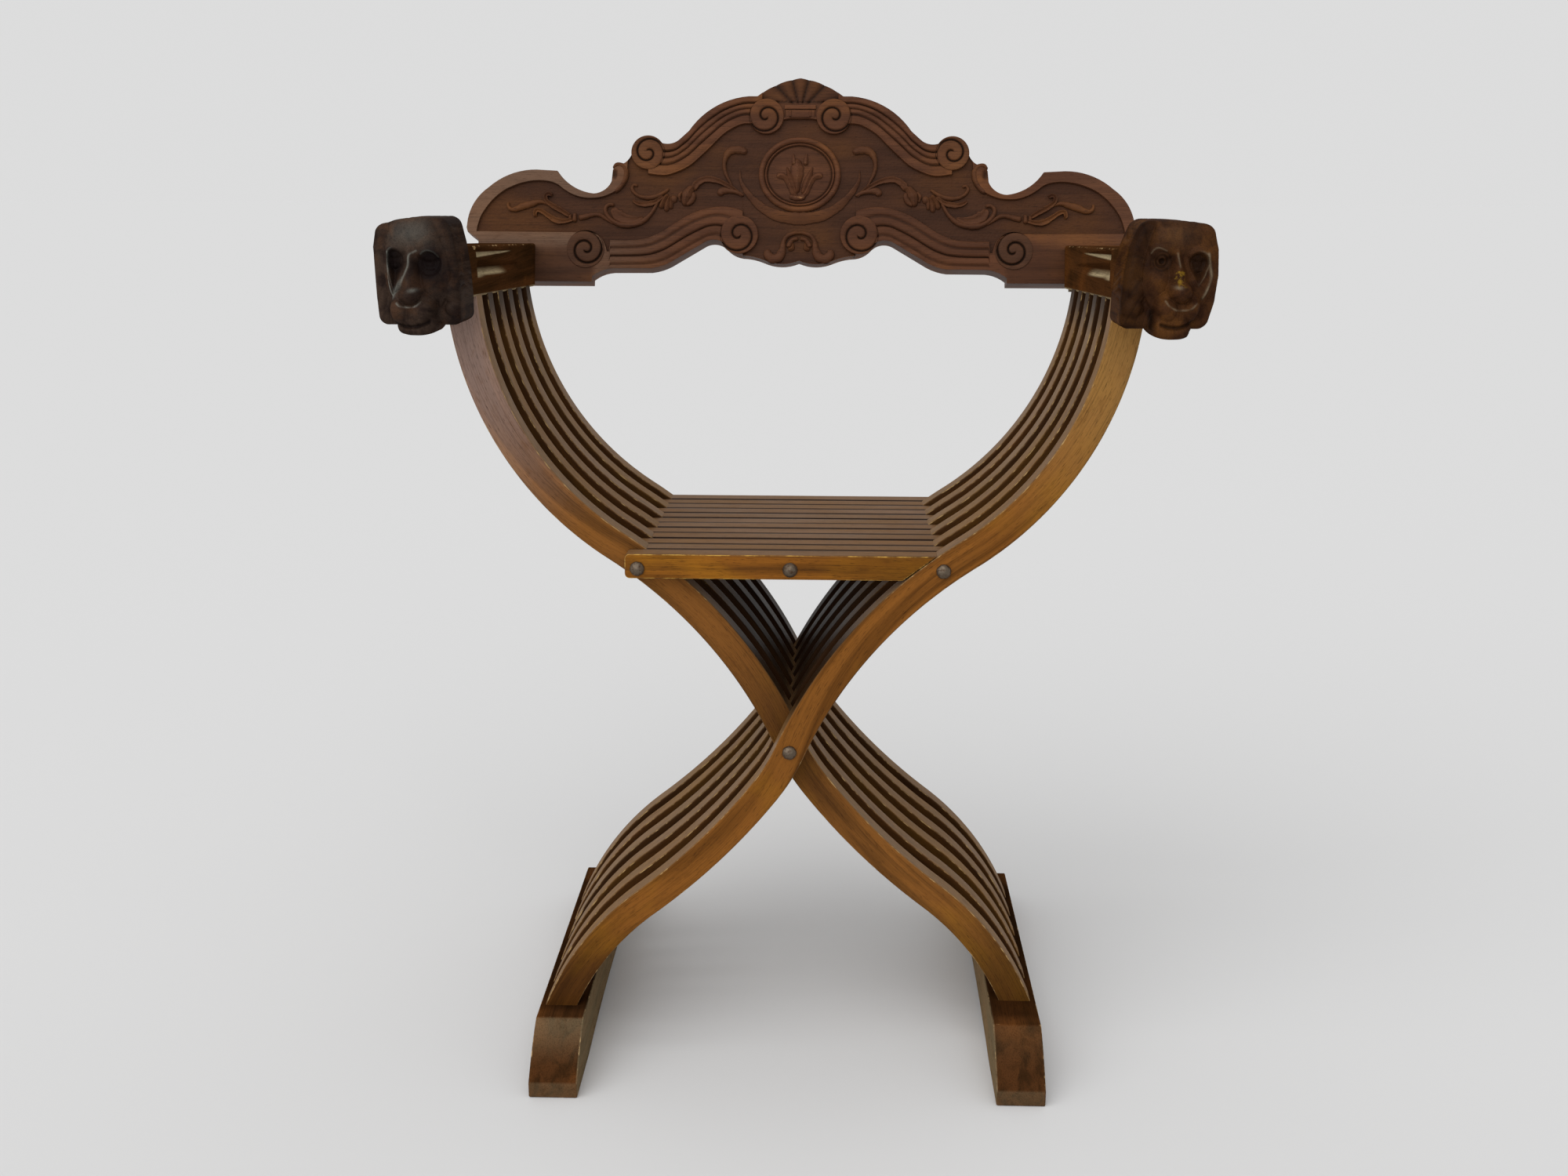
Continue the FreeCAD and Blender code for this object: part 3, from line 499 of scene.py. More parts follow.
# Its edge tone is the painted glare on the back's rim and outer volutes.
BACK_WALNUT = WoodFinish("back_walnut_carved", heart="#5b3926", streak="#4c2f20", glow="#714727",
                         edge="#6f5a4a", bare="#9c7048", packed="#21150f", roughness=0.5,
                         wear=0.4, punch=0.16)
# The heads' edge tones are their painted highlights.
LEFT_HEAD_WALNUT = WoodFinish("left_head_polished", heart="#3b2e26", streak="#271d19",
                              glow="#493325", edge="#8f8f86", bare="#7a462d", packed="#0f0a0b",
                              roughness=0.45, coat=0.03, sheen=0.0, wear=0.3, patch=16)
RIGHT_HEAD_WALNUT = WoodFinish("right_head_polished", heart="#432917", streak="#301c11",
                               glow="#553519", edge="#877a64", bare="#75591b", packed="#140c08",
                               roughness=0.45, coat=0.03, sheen=0.0, wear=0.5, patch=18)
DARK_IRON = IronFinish("blackened_iron", scale="#665a4d", rust="#4d382a", roughness=0.42)


# The double curve of the leg slats


@dataclass(frozen=True)
class Arc:
    """One round stretch of a path: its radius and its turn in degrees, left of the way it goes."""

    radius: float
    turn: float


@dataclass(frozen=True)
class Run:
    """A path of tangent arcs from the crossing, with a straight end.

    Attributes:
        slope: The direction in which it leaves the crossing.
        arcs: Its round stretches.
    """

    slope: float
    arcs: tuple[Arc, ...]

    def at(self, distance: ndarray) -> tuple[ndarray, ndarray, ndarray]:
        """Places along the run.

        On an arc of radius r that starts with the slope a, a distance d turns the slope by d / r,
        and the place is the arc's start plus r (sin a' - sin a, cos a - cos a') for a left turn.

        Args:
            distance: How far along the run, from the crossing.

        Returns:
            The places across and up from the crossing, and the slopes in radians.
        """
        x, z, slope, start = 0.0, 0.0, np.radians(self.slope), 0.0
        across = np.zeros_like(distance)
        up = np.zeros_like(distance)
        slopes = np.full_like(distance, slope)
        for arc in self.arcs:
            signed = arc.radius * np.sign(arc.turn)
            length = arc.radius * abs(np.radians(arc.turn))
            inside = distance >= start
            turned = slope + np.clip(distance - start, 0, length) / signed
            across = np.where(inside, x + signed * (np.sin(turned) - np.sin(slope)), across)
            up = np.where(inside, z + signed * (np.cos(slope) - np.cos(turned)), up)
            slopes = np.where(inside, turned, slopes)
            end = slope + np.radians(arc.turn)
            x, z = (x + signed * (np.sin(end) - np.sin(slope)),
                    z + signed * (np.cos(slope) - np.cos(end)))
            slope, start = end, start + length
        beyond = np.maximum(distance - start, 0)
        return across + beyond * np.cos(slope), up + beyond * np.sin(slope), slopes

    @property
    def length(self) -> float:
        """Length of the round stretches together."""
        return float(sum(arc.radius * np.radians(abs(arc.turn)) for arc in self.arcs))


@dataclass(frozen=True)
class Section:
    """A rounded rectangle as one ring of points.

    Attributes:
        first: Places along the first axis, as shares of the half width less the corner.
        second: The same along the second axis.
        round_first: Unit offsets of the corner's round along the first axis.
        round_second: The same along the second axis.
        worn: 1 in the middle of a corner, 0 on the faces.
        edge: 1 on the faces that look along the first axis.
    """

    first: ndarray
    second: ndarray
    round_first: ndarray
    round_second: ndarray
    worn: ndarray
    edge: ndarray

    @staticmethod
    def make(steps_first: int, steps_second: int, corner_steps: int = 4) -> "Section":
        """Walk round a rounded rectangle, corner by corner and face by face.

        Args:
            steps_first: Steps along the two faces that run along the first axis.
            steps_second: Steps along the two faces that run along the second axis.
            corner_steps: Steps round each corner.

        Returns:
            The ring.
        """
        near_corner = 2.6
        rows = []
        corner_signs = ((1, 1), (-1, 1), (-1, -1), (1, -1))
        for number, (sign_first, sign_second) in enumerate(corner_signs):
            angles = np.radians(number * 90 + np.linspace(0, 90, corner_steps + 1))
            share = np.linspace(0, 1, corner_steps + 1)
            worn = np.sin(np.pi * share)
            outwards = np.abs(np.cos(angles))
            rows.append(np.stack([np.full_like(angles, sign_first),
                                  np.full_like(angles, sign_second), np.cos(angles),
                                  np.sin(angles), worn, outwards ** 2], axis=1))
            along_first = number % 2 == 0
            steps = steps_first if along_first else steps_second
            walk = np.linspace(1, -1, steps + 2)[1:-1]
            walk = np.sign(walk) * np.abs(walk) ** 0.5 if steps > 2 else walk * near_corner
            fixed = np.full_like(walk, sign_second if along_first else sign_first)
            if along_first:
                row = [walk * sign_first, fixed, 0 * walk, fixed, 0 * walk, 0 * walk]
            else:
                row = [fixed, walk * sign_second, fixed, 0 * walk, 0 * walk, 0 * walk + 1]
            rows.append(np.stack(row, axis=1))
        ring = np.concatenate(rows)
        return Section(*ring.T)

    def placed(self, half_first: ndarray, half_second: ndarray,
               corner: ndarray) -> tuple[ndarray, ndarray]:
        """The ring's places for given half widths and corner rounds.

        Args:
            half_first: Half widths along the first axis, one per station.
            half_second: Half widths along the second axis, one per station.
            corner: The corner's radius, one per station.

        Returns:
            Places along the two axes, with the shape stations, points per ring.
        """
        half_first, half_second, corner = (np.atleast_1d(value)[:, None] for value in
                                           (half_first, half_second, corner))
        return (self.first * (half_first - corner) + self.round_first * corner,
                self.second * (half_second - corner) + self.round_second * corner)


@dataclass
class CrossedLegs:
    """The two sets of six leg slats, interlaced and turning on one bolt.

    Attributes:
        width: A slat across its curve.
        corner: Its rounded corners.
        stations: Rings along a slat.
        seat: How far the slat runs into the arm and the runner.
        upper: The curve from the crossing up to the arm.
        lower: The curve from the crossing down to the runner.
        arm_slope: Fall of the armrest's underside to the rear.
        thigh_turn: Turn of the upper curve from the crossing to the seat's bolt.
        pairs: Slats of each side.
        foot_wax: Where the painted shade above a runner ends, softly.
        arm_wax: The same below an armrest.
        fading: The same for the painted sheen and sun fade below an armrest.
        vee: Where the painted shade in the V above the crossing starts, is full, ebbs and ends.
        grime: Middle and half length of the painted shade beside the crossing.
        drift: Height and length of the grain's slow wave.
    """

    width: float = 26.0
    corner: float = 1.3
    stations: int = 170
    seat: float = 1.2
    upper: Run = Run(66.5, (Arc(397, -33.4), Arc(271, 53)))
    lower: Run = Run(246.5, (Arc(173, -13.9), Arc(570, -14.9), Arc(249, 29.4)))
    arm_slope: float = 2.4
    thigh_turn: float = 29.9
    pairs: int = 6
    foot_wax: tuple[float, float] = (25, 125)
    arm_wax: tuple[float, float] = (5, 38)
    fading: tuple[float, float] = (30, 230)
    vee: tuple[float, float, float, float] = (8, 45, 92, 165)
    grime: tuple[float, float] = (10, 90)
    drift: tuple[float, float] = (7, 120)

    def __post_init__(self) -> None:
        """Take the crossing and the shoulders from the frame."""
        low, high = node_box("pivot_bolt")
        self.crossing_z = float(low[2] + high[2]) / 2
        self.runner_top = float(node_box("foot_runner_left")[1][2])
        self.front = float(node_box("leg_slat_right_1")[0][1])
        self.back = float(node_box("leg_slat_left_6")[1][1])
        _, rise, _ = self.upper.at(np.array([self.upper.length]))
        self.arm_rise = float(rise[0])

    def path(self, distance: ndarray) -> tuple[ndarray, ndarray, ndarray]:
        """Places of a right slat's middle line; below the crossing the distance is negative."""
        up = self.upper.at(np.maximum(distance, 0))
        down = self.lower.at(np.maximum(-distance, 0))
        below = distance < 0
        return (np.where(below, down[0], up[0]), np.where(below, down[1], up[1]) + self.crossing_z,
                np.where(below, down[2] - np.pi, up[2]))

    def arm_underside(self, y: ndarray) -> ndarray:
        """Height of the armrest's underside at a depth."""
        fall = np.tan(np.radians(self.arm_slope))
        return self.crossing_z + self.arm_rise - (y - self.front) * fall

    def slat(self, y_front: float, y_back: float, seed: int, hidden: tuple[bool, bool],
             grime: float) -> Skin:
        """A right leg slat between two depths.

        Each line along the slat keeps its distance from the middle line, and runs from the
        runner's top to the armrest's underside, in equal steps.

        Args:
            y_front: Its front face.
            y_back: Its rear face.
            seed: Makes its grain its own.
            hidden: Whether its front and its rear face a neighbour, where shade is painted.
            grime: How strong the painted shade on its front is beside the crossing.

        Returns:
            The closed skin.
        """
        ring = Section.make(2, 2)
        offset, depth = ring.placed(self.width / 2, (y_back - y_front) / 2, self.corner)
        offset, y = offset[0], depth[0] + (y_front + y_back) / 2
        ends = []
        for run, sign, goal in ((self.upper, 1, self.arm_underside(y) + self.seat),
                                (self.lower, -1, self.runner_top - self.seat)):
            _, z, slope = self.path(np.array([sign * run.length]))
            ends.append(sign * run.length + (goal - z - offset * np.cos(slope)) / np.sin(slope))
        share = np.linspace(0, 1, self.stations)[:, None]
        distance = ends[1] + share * (ends[0] - ends[1])
        x, z, slope = self.path(distance)
        points = np.stack([x - np.sin(slope) * offset, np.broadcast_to(y, x.shape),
                           z + np.cos(slope) * offset], axis=-1)
        draws = np.random.default_rng(seed)
        shift = draws.uniform(0, 900, 3)
        drift = self.drift[0] * np.sin(distance / self.drift[1] + shift[0])
        grain = np.stack([distance + shift[0], offset + drift + shift[1],
                          np.broadcast_to(y, x.shape) + shift[2]], axis=-1)
        shade = draws.uniform(-0.05, 0.12)
        spread = np.ones_like(x)
        front, rear = np.clip(-ring.round_second, 0, 1), np.clip(ring.round_second, 0, 1)
        near_foot = 1 - smooth(distance - ends[1], *self.foot_wax)
        near_arm = 1 - smooth(ends[0] - distance, *self.arm_wax)
        # Painted shade near the feet, below the armrest, in the V above the crossing, beside the
        # crossing and where slats lie face to face; painted sheen and sun fade towards the arms;
        # narrow edges greyed by dust and painted sheen.
        open_front = front * (not hidden[0])
        faded = 0.75 * open_front * (1 - smooth(ends[0] - distance, *self.fading))
        in_vee = within(distance, *self.vee)
        painted_shade = 0.82 * (front * hidden[0] + rear * hidden[1]) * spread
        painted_shade += 0.9 * in_vee * (1 - open_front)
        painted_shade += grime * open_front * bell(distance - self.grime[0], self.grime[1])
        painted_shade += 0.66 * near_foot * open_front + 0.85 * near_arm * hidden[0]
        values = {"grain": grain, "worn": ring.worn * (1 - in_vee) * spread,
                  "edge": np.clip(ring.edge * 0.75 + shade, 0, 1) * spread,
                  "faded": faded * spread, "deep": np.clip(painted_shade, 0, 0.93)}
        return closed_tube(points, values)

    def build(self, finish: bpy.types.Material) -> None:
        """Make all twelve slats; each front one pales in its own tone of painted sheen and sun
        fade.

        Args:
            finish: Their wood.
        """
        for side in Side:
            faded = FRONT_WALNUT[side].build()
            for number in range(1, self.pairs + 1):
                node = f"leg_slat_{side.word}_{number}"
                low, high = node_box(node)
                skin = self.slat(float(low[1]), float(high[1]), number * 10 + side.value,
                                 (number > 1, number < self.pairs), FRONT_CROSSING_SHADE[side])
                add_piece(f"{side.word}_leg_wood_{number}", skin.on(side),
                          faded if number == 1 else finish, f"{side.word}_frame",
                          [node])


# Seat


def inset_outline(outline: ndarray, inset: float) -> ndarray:
    """A closed outline moved inwards; each corner moves along the sum of its two sides' normals."""
    along = unit(np.roll(outline, -1, axis=0) - outline)
    normal = np.stack([along[:, 1], -along[:, 0]], axis=1)
    before = np.roll(normal, 1, axis=0)
    mitre = (normal + before) / (1 + (normal * before).sum(axis=1, keepdims=True))
    return outline - mitre * inset


@dataclass
class SlatSeat:
    """Twelve seat slats, hung by turns on the left and the right seat bolt.

    Attributes:
        legs: The leg slats that they rest on.
        rise: A slat above its bolts.
        drop: A slat below its bolts.
        reach: Past the bolt that it turns on.
        end_round: Corners of that end.
        corner: Rounded long edges.
        rest_gap: Slanted end to the leg slat.
        dark_end: Where the front face turns darker towards its right end.
        dark_spot: Middle and half length of its dark spot near the left end.
        drift: Height and length of the grain's slow wave.
    """

    legs: CrossedLegs
    rise: float = 12.3
    drop: float = 8.5
    reach: float = 10.5
    end_round: float = 4.0
    corner: float = 1.2
    rest_gap: float = 0.35
    dark_end: tuple[float, float] = (8, 95)
    dark_spot: tuple[float, float] = (-101, 17)
    drift: tuple[float, float] = (3, 130)

    def outline(self) -> ndarray:
        """The outline of a slat that turns on the left bolt, counter-clockwise from the front."""
        distance = np.array([self.legs.upper.arcs[0].radius * np.radians(self.legs.thigh_turn)])
        bolt_x, bolt_z, slope = (float(value[0]) for value in self.legs.path(distance))
        away = self.legs.width / 2 + self.rest_gap
        heights = np.array([bolt_z - self.drop, bolt_z + self.rise])
        rest = bolt_x - np.sin(slope) * away + ((heights - bolt_z - np.cos(slope) * away)
                                                / np.tan(slope))
        left = -bolt_x - self.reach
        turn = np.radians(np.linspace(0, 90, 6))
        inner = left + self.end_round
        top = np.stack([inner - self.end_round * np.sin(turn),
                        heights[1] - self.end_round * (1 - np.cos(turn))], axis=1)
        bottom = np.stack([inner - self.end_round * np.cos(turn),
                           heights[0] + self.end_round * (1 - np.sin(turn))], axis=1)
        long_low = np.linspace(inner, rest[0], 9)[1:]
        long_high = np.linspace(rest[1], inner, 9)[:-1]
        edges = [np.stack([line, np.full_like(line, level)], axis=1)
                 for line, level in zip((long_low, long_high), heights)]
        return np.concatenate([top, bottom, *edges])

    def slat(self, y_front: float, y_back: float, seed: int, hidden: tuple[float, float],
             sunk: float) -> Skin:
        """One slat: its outline carried through its thickness, drawn in round both long edges.

        Args:
            y_front: Its front face.
            y_back: Its rear face.
            seed: Makes its grain its own.
            hidden: 1 where its front and its rear face lie against another slat.
            sunk: How far its top has worn down.

        Returns:
            The closed skin.
        """
        outline = self.outline()
        outline[:, 1] -= sunk * (outline[:, 1] > outline[:, 1].max() - 0.01)
        depths, insets = round_over(self.corner)
        insets = np.concatenate([[self.corner + 2.4], insets, [0]])
        depths = np.concatenate([[0], depths, [self.corner + 3.2]])
        worn = np.concatenate([[0], np.sin(np.linspace(0, np.pi, 5)), [0]])
        # Narrow edges greyed by dust and painted sheen; painted shade along the joints between
        # slats.
        edge = np.concatenate([[0], np.linspace(0, 1, 5), [1]])
        joint_shade = np.array([0.35, 1, 1, 1, 0.95, 0.8, 0])
        half = [(inset_outline(outline, inset), depth) for inset, depth in zip(insets, depths)]
        rings = [np.insert(flat, 1, y_front + depth, axis=1) for flat, depth in half]
        rings += [np.insert(flat, 1, y_back - depth, axis=1) for flat, depth in half[::-1]]
        points = np.stack(rings)
        draws = np.random.default_rng(seed)
        shift = draws.uniform(0, 900, 3)
        grain = points[..., (0, 2, 1)] + shift
        grain[..., 1] += self.drift[0] * np.sin(points[..., 0] / self.drift[1] + shift[0])
        spread = np.ones(points.shape[:2])
        shade = draws.uniform(-0.06, 0.1)
        open_front, open_back = 1 - hidden[0], 1 - hidden[1]
        # The open long edges are pale: wear, with a painted highlight.
        wear_and_highlight = np.r_[worn * open_front, worn[::-1] * open_back]
        dark = np.r_[joint_shade * hidden[0], joint_shade[::-1] * hidden[1]]
        # The front face is darker towards its right end and in one spot near its left end.
        x = points[..., 0]
        spot, reach = self.dark_spot
        ends = 0.46 * smooth(x, *self.dark_end) + 0.4 * bell(x - spot, reach)
        at_front = np.arange(len(points)) < len(insets) - 1
        ends = ends * (at_front * open_front)[:, None]
        values = {"grain": grain, "worn": wear_and_highlight[:, None] * spread,
                  "edge": np.clip(np.r_[edge, edge[::-1]] * 0.85 + shade, 0, 1)[:, None] * spread,
                  "deep": np.maximum(dark[:, None] * spread, ends)}
        return closed_tube(points, values)

    def build(self, finish: bpy.types.Material) -> None:
        """Make all twelve slats.

        Args:
            finish: Their wood.
        """
        layers = 2 * self.legs.pairs
        for layer in range(1, layers + 1):
            node = f"seat_slat_{layer:02d}"
            low, high = node_box(node)
            sunk = 0.0 if layer == 1 else float(np.random.default_rng(30 + layer).uniform(0, 0.9))
            skin = self.slat(float(low[1]), float(high[1]), seed=200 + layer,
                             hidden=(float(layer > 1), float(layer < layers)), sunk=sunk)
            side = Side.LEFT if layer % 2 else Side.RIGHT
            add_piece(f"seat_wood_{layer:02d}", skin.on(side.other), finish,
                      f"seat_{side.word}", [node], crease=35)


# Runners


@dataclass
class FootRunners:
    """The two runners on the floor, with sloping toes and a hollow under the middle.

    Attributes:
        legs: The leg slats that stand on them.
        front_shoulder: Flat top ahead of the first slat.
        rear_shoulder: Flat top behind the last slat.
        toe_height: Blunt end of a toe.
        toe_bulge: Rise of the toe's slope above a straight line.
        pad_length: Flat sole at each end.
        arch_rise: Hollow under the middle.
        corner: Rounded edges.
        end_steps: Rings round the edge of each end.
        steps: Rings along the rest.
        chipped: Length behind the toe with chipped edges.
        end_rub: Length of the rubbed ends.
        sill_rub: Half width of the painted shoulder highlight, and of the pale worn line at the
            toe.
        leg_wax: Reach of the painted contact shadow ahead of the leg slats and behind them.
        bare_toe: Where the painted sheen on the toe's slope starts, is palest, ebbs and ends.
        slope_bare: How pale that painted sheen is on each side.
        foot_bare: How bare the toe's foot is on each side.
    """

    legs: CrossedLegs
    front_shoulder: float = 21.0
    rear_shoulder: float = 40.0
    toe_height: float = 13.0
    toe_bulge: float = 3.5
    pad_length: float = 75.0
    arch_rise: float = 6.0
    corner: float = 1.5
    end_steps: int = 5
    steps: int = 150
    chipped: float = 60.0
    end_rub: float = 3.0
    sill_rub: tuple[float, float] = (0.9, 2.4)
    leg_wax: float = 16.0
    bare_toe: tuple[float, float, float, float] = (0.2, 1.5, 4, 40)
    slope_bare: dict[Side, float] = field(
        default_factory=lambda: {Side.LEFT: 0.16, Side.RIGHT: 0.03})
    foot_bare: dict[Side, float] = field(
        default_factory=lambda: {Side.LEFT: 0.9, Side.RIGHT: 0.3})

    def skin(self, side: Side) -> Skin:
        """A runner as rings along its length.

        The top is flat between the shoulders and falls along a parabola to each toe; the sole
        lifts along a parabola between the pads.

        Args:
            side: Its side.

        Returns:
            The closed skin.
        """
        low, high = node_box(f"foot_runner_{side.word}")
        toe, heel = float(low[1]), float(high[1])
        shoulders = (self.legs.front - self.front_shoulder, self.legs.back + self.rear_shoulder)
        end_y, end_inset = round_over(self.corner, self.end_steps)
        middle = np.unique(np.concatenate([
            np.linspace(toe + self.corner, heel - self.corner, self.steps),
            np.add.outer(shoulders, (-0.6, 0.0, 0.6)).ravel()]))
        y = np.concatenate([toe + end_y, middle[1:-1], heel - end_y[::-1]])
        inset = np.concatenate([end_inset, np.zeros(len(middle) - 2), end_inset[::-1]])
        share = np.clip(np.where(y < shoulders[0], (y - toe) / (shoulders[0] - toe),
                                 (heel - y) / (heel - shoulders[1])), 0, 1)
        top = (self.toe_height + (self.legs.runner_top - self.toe_height) * share
               + self.toe_bulge * 4 * share * (1 - share))
        centre = (toe + heel) / 2
        arch = 1 - ((y - centre) / ((heel - toe) / 2 - self.pad_length)) ** 2
        sole = self.arch_rise * np.maximum(arch, 0)
        ring = Section.make(6, 8)
        half_width = np.full_like(y, (high[0] - low[0]) / 2) - inset
        half_height = (top - sole) / 2 - inset
        corner = np.maximum(self.corner - inset, 0.05)
        across, up = ring.placed(half_width, half_height, corner)
        middle_x = (low[0] + high[0]) / 2
        depth = np.broadcast_to(y[:, None], across.shape)
        points = np.stack([across + middle_x, depth, up + ((top + sole) / 2)[:, None]], axis=-1)
        # Small chips near the toe, cut along the corner's own direction.
        wear_and_highlight = ring.worn + 0.35 * self.end_wear(y, toe, heel)[:, None]
        draws = np.random.default_rng(400 + side.value)
        chips = np.clip(draws.normal(0, 1, across.shape) - 1.2, 0, 1) * ring.worn
        near_toe = smooth(-y, -toe - self.chipped, -toe)[:, None]
        outwards = unit(np.stack([ring.round_first, 0 * ring.round_first, ring.round_second],
                                 axis=-1))
        points -= outwards * (chips * near_toe)[..., None] * 0.5
        grain = points[..., (1, 0, 2)] + draws.uniform(0, 900, 3)
        # A painted highlight along the shoulder, a pale worn line along the toe's foot, painted
        # sheen on the sides, most on the inner one, and on the toe's slope, and painted contact
        # shadow by the legs.
        wear_and_highlight = np.minimum(wear_and_highlight, 1) * smooth(y, toe + 0.2, toe + 1.0)[:, None]
        above = np.clip(ring.round_second, 0, 1)
        from_shoulder = (y - shoulders[0])[:, None]
        wear_and_highlight += 0.75 * bell(from_shoulder, self.sill_rub[0]) * above
        wear_and_highlight += self.foot_bare[side] * bell(points[..., 2], self.sill_rub[1]) * (
            np.maximum(1 - (y - toe) / self.end_rub, 0)[:, None])
        inwards = -ring.round_first * side.value
        pale = 0.3 * np.clip(inwards, 0, 1) + 0.04 * np.clip(-inwards, 0, 1)
        pale = pale + self.slope_bare[side] * above * within(-from_shoulder, *self.bare_toe)
        under_legs = within(y, self.legs.front - self.leg_wax, self.legs.front - 1,
                            self.legs.back, self.legs.back + self.leg_wax)
        inside = smooth(y, toe + 0.3, toe + 1.4)[:, None]
        pale = pale * inside + 0.08 * (1 - inside)
        values = {"grain": grain, "worn": np.clip(wear_and_highlight, 0, 1), "edge": pale + 0 * wear_and_highlight,
                  "deep": 0.6 * under_legs[:, None] * above}
        return closed_tube(points, values)

    def end_wear(self, y: ndarray, toe: float, heel: float) -> ndarray:
        """1 on the blunt ends, fading to 0 within a few millimetres."""
        return np.maximum(1 - (y - toe) / self.end_rub, 1 - (heel - y) / self.end_rub).clip(0, 1)

    def build(self, finish: bpy.types.Material) -> None:
        """Make both runners.

        Args:
            finish: Their wood.
        """
        for side in Side:
            add_piece(f"{side.word}_runner_wood", self.skin(side), finish,
                      f"{side.other.word}_frame", [f"foot_runner_{side.word}"],
                      crease=25)


# Bolts and small iron


@dataclass
class Ironwork:
    """Through bolts with hammered heads, and the small iron that stays as the frame has it.

    Attributes:
        shank: Radius of a bolt.
        head: Radius of a domed head.
        rise: Height of a domed head.
        dent: Depth of the hammer marks.
        around: Points round a bolt.
    """

    shank: float = 4.0
    head: float = 6.3
    rise: float = 4.2
    dent: float = 0.28
    around: int = 40

    def lathe(self, radii: ndarray, depths: ndarray, x: float, z: float, seed: int) -> Skin:
        """A profile turned about an axis that runs from front to back.

        Args:
            radii: Radii of the profile, from its front end.
            depths: Their places along Y.
            x: The axis.
            z: The axis.
            seed: Makes its hammer marks its own.

        Returns:
            The closed skin.
        """
        turn = full_turn(self.around)
        waves = np.random.default_rng(seed).uniform(0, 6.28, 4)
        marks = (np.sin(5 * turn + waves[0]) * np.cos(1.1 * radii[:, None] + waves[1])
                 + np.sin(8 * turn + waves[2]) * np.cos(1.9 * radii[:, None] + waves[3]))
        outer = smooth(radii, 1.0, self.head)[:, None]
        radius = radii[:, None] - self.dent * outer * (1 + marks) * 0.5
        lift = self.dent * marks * smooth(radii, 0.6, 2.5)[:, None]
        lift = lift * (1 - smooth(radii, self.head - 1, self.head))[:, None]
        points = np.stack([x + radius * np.cos(turn), depths[:, None] + np.abs(lift),
                           z + radius * np.sin(turn)], axis=-1)
        return closed_tube(points, {"deep": 0 * radius})

    def bolt(self, node: str, seed: int) -> Skin:
        """A bolt's domed head and shank, between the ends of its CAD node."""
        low, high = node_box(node)
        x, z = (float(low[at] + high[at]) / 2 for at in (0, 2))
        angle = np.linspace(0.04, np.pi / 2, 12)
        base = float(low[1]) + self.rise
        radii = np.concatenate([self.head * np.sin(angle), [self.shank, self.shank]])
        depths = np.concatenate([base - self.rise * np.cos(angle), [base, float(high[1])]])
        return self.lathe(radii, depths, x, z, seed)

    def build(self, finish: bpy.types.Material) -> None:
        """Make the three whole bolts, and give every other iron node its finish.

        Args:
            finish: The iron.
        """
        for number, node in enumerate(("pivot_bolt", "seat_bolt_right", "seat_bolt_left")):
            body = frame["nodes"][node]["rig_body"]
            add_piece(f"{node}_iron", self.bolt(node, 50 + number), finish, body,
                      [node], crease=60)
        for name, node in frame["nodes"].items():
            if name.startswith(("hinge", "catch", "back_catch", "stop", "seat_nut", "pivot_nut",
                                "seat_bolt_middle")):
                give_finish(node, finish)


def give_finish(node: bpy.types.Object, finish: bpy.types.Material) -> None:
    """Put a finish in every material slot of a CAD node."""
    for slot in node.material_slots:
        slot.material = finish


# Camera, light and floor


@dataclass(frozen=True)
class Viewpoint:
    """Where the picture is seen from.

    Attributes:
        width: Of the picture, in pixels.
        height: Of the picture, in pixels.
        focal: Focal length in pixels.
        place: The camera.
        pitch: Radians below level.
        yaw: Radians to the right of +Y.
        roll: Radians clockwise.
        sensor: Width of the camera's sensor.
    """

    width: int = 2000
    height: int = 1500
    focal: float = 2151.5
    place: tuple[float, float, float] = (33.15, -1492.5, 783.2)
    pitch: float = 0.249
    yaw: float = -0.028
    roll: float = 0.003
    sensor: float = 36.0

    def axes(self) -> tuple[ndarray, ndarray, ndarray]:
        """The picture's right, its up and the way the camera looks."""
        ahead = np.array([np.sin(self.yaw) * np.cos(self.pitch),
                          np.cos(self.yaw) * np.cos(self.pitch), -np.sin(self.pitch)])
        level = np.array([np.cos(self.yaw), -np.sin(self.yaw), 0.0])
        upright = np.cross(level, ahead)
        right = level * np.cos(self.roll) + upright * np.sin(self.roll)
        return right, np.cross(right, ahead), ahead

    def onto_plane(self, pixels: ndarray, spot: ndarray, normal: ndarray) -> ndarray:
        """Where the lines of sight through pixels meet a plane.

        Args:
            pixels: Rows of x and y in the picture, y downwards.
            spot: A point of the plane.
            normal: Its normal.

        Returns:
            One point per pixel.
        """
        right, up, ahead = self.axes()
        across = (pixels[..., :1] - self.width / 2) / self.focal
        down = (pixels[..., 1:2] - self.height / 2) / self.focal
        ways = ahead + right * across - up * down
        start = np.array(self.place)
        return start + ways * ((spot - start) @ normal / (ways @ normal))[..., None]

    def add_camera(self) -> None:
        """Put the camera in the scene."""
        right, up, ahead = self.axes()
        lens = bpy.data.cameras.new("picture_camera")
        lens.sensor_width = self.sensor
        lens.lens = self.focal / self.width * self.sensor
        camera = bpy.data.objects.new("picture_camera", lens)
        turn = Matrix(np.column_stack([right, up, -ahead]).tolist()).to_4x4()
        camera.matrix_world = Matrix.Translation([part * METRES for part in self.place]) @ turn
        bpy.context.scene.collection.objects.link(camera)
        bpy.context.scene.camera = camera


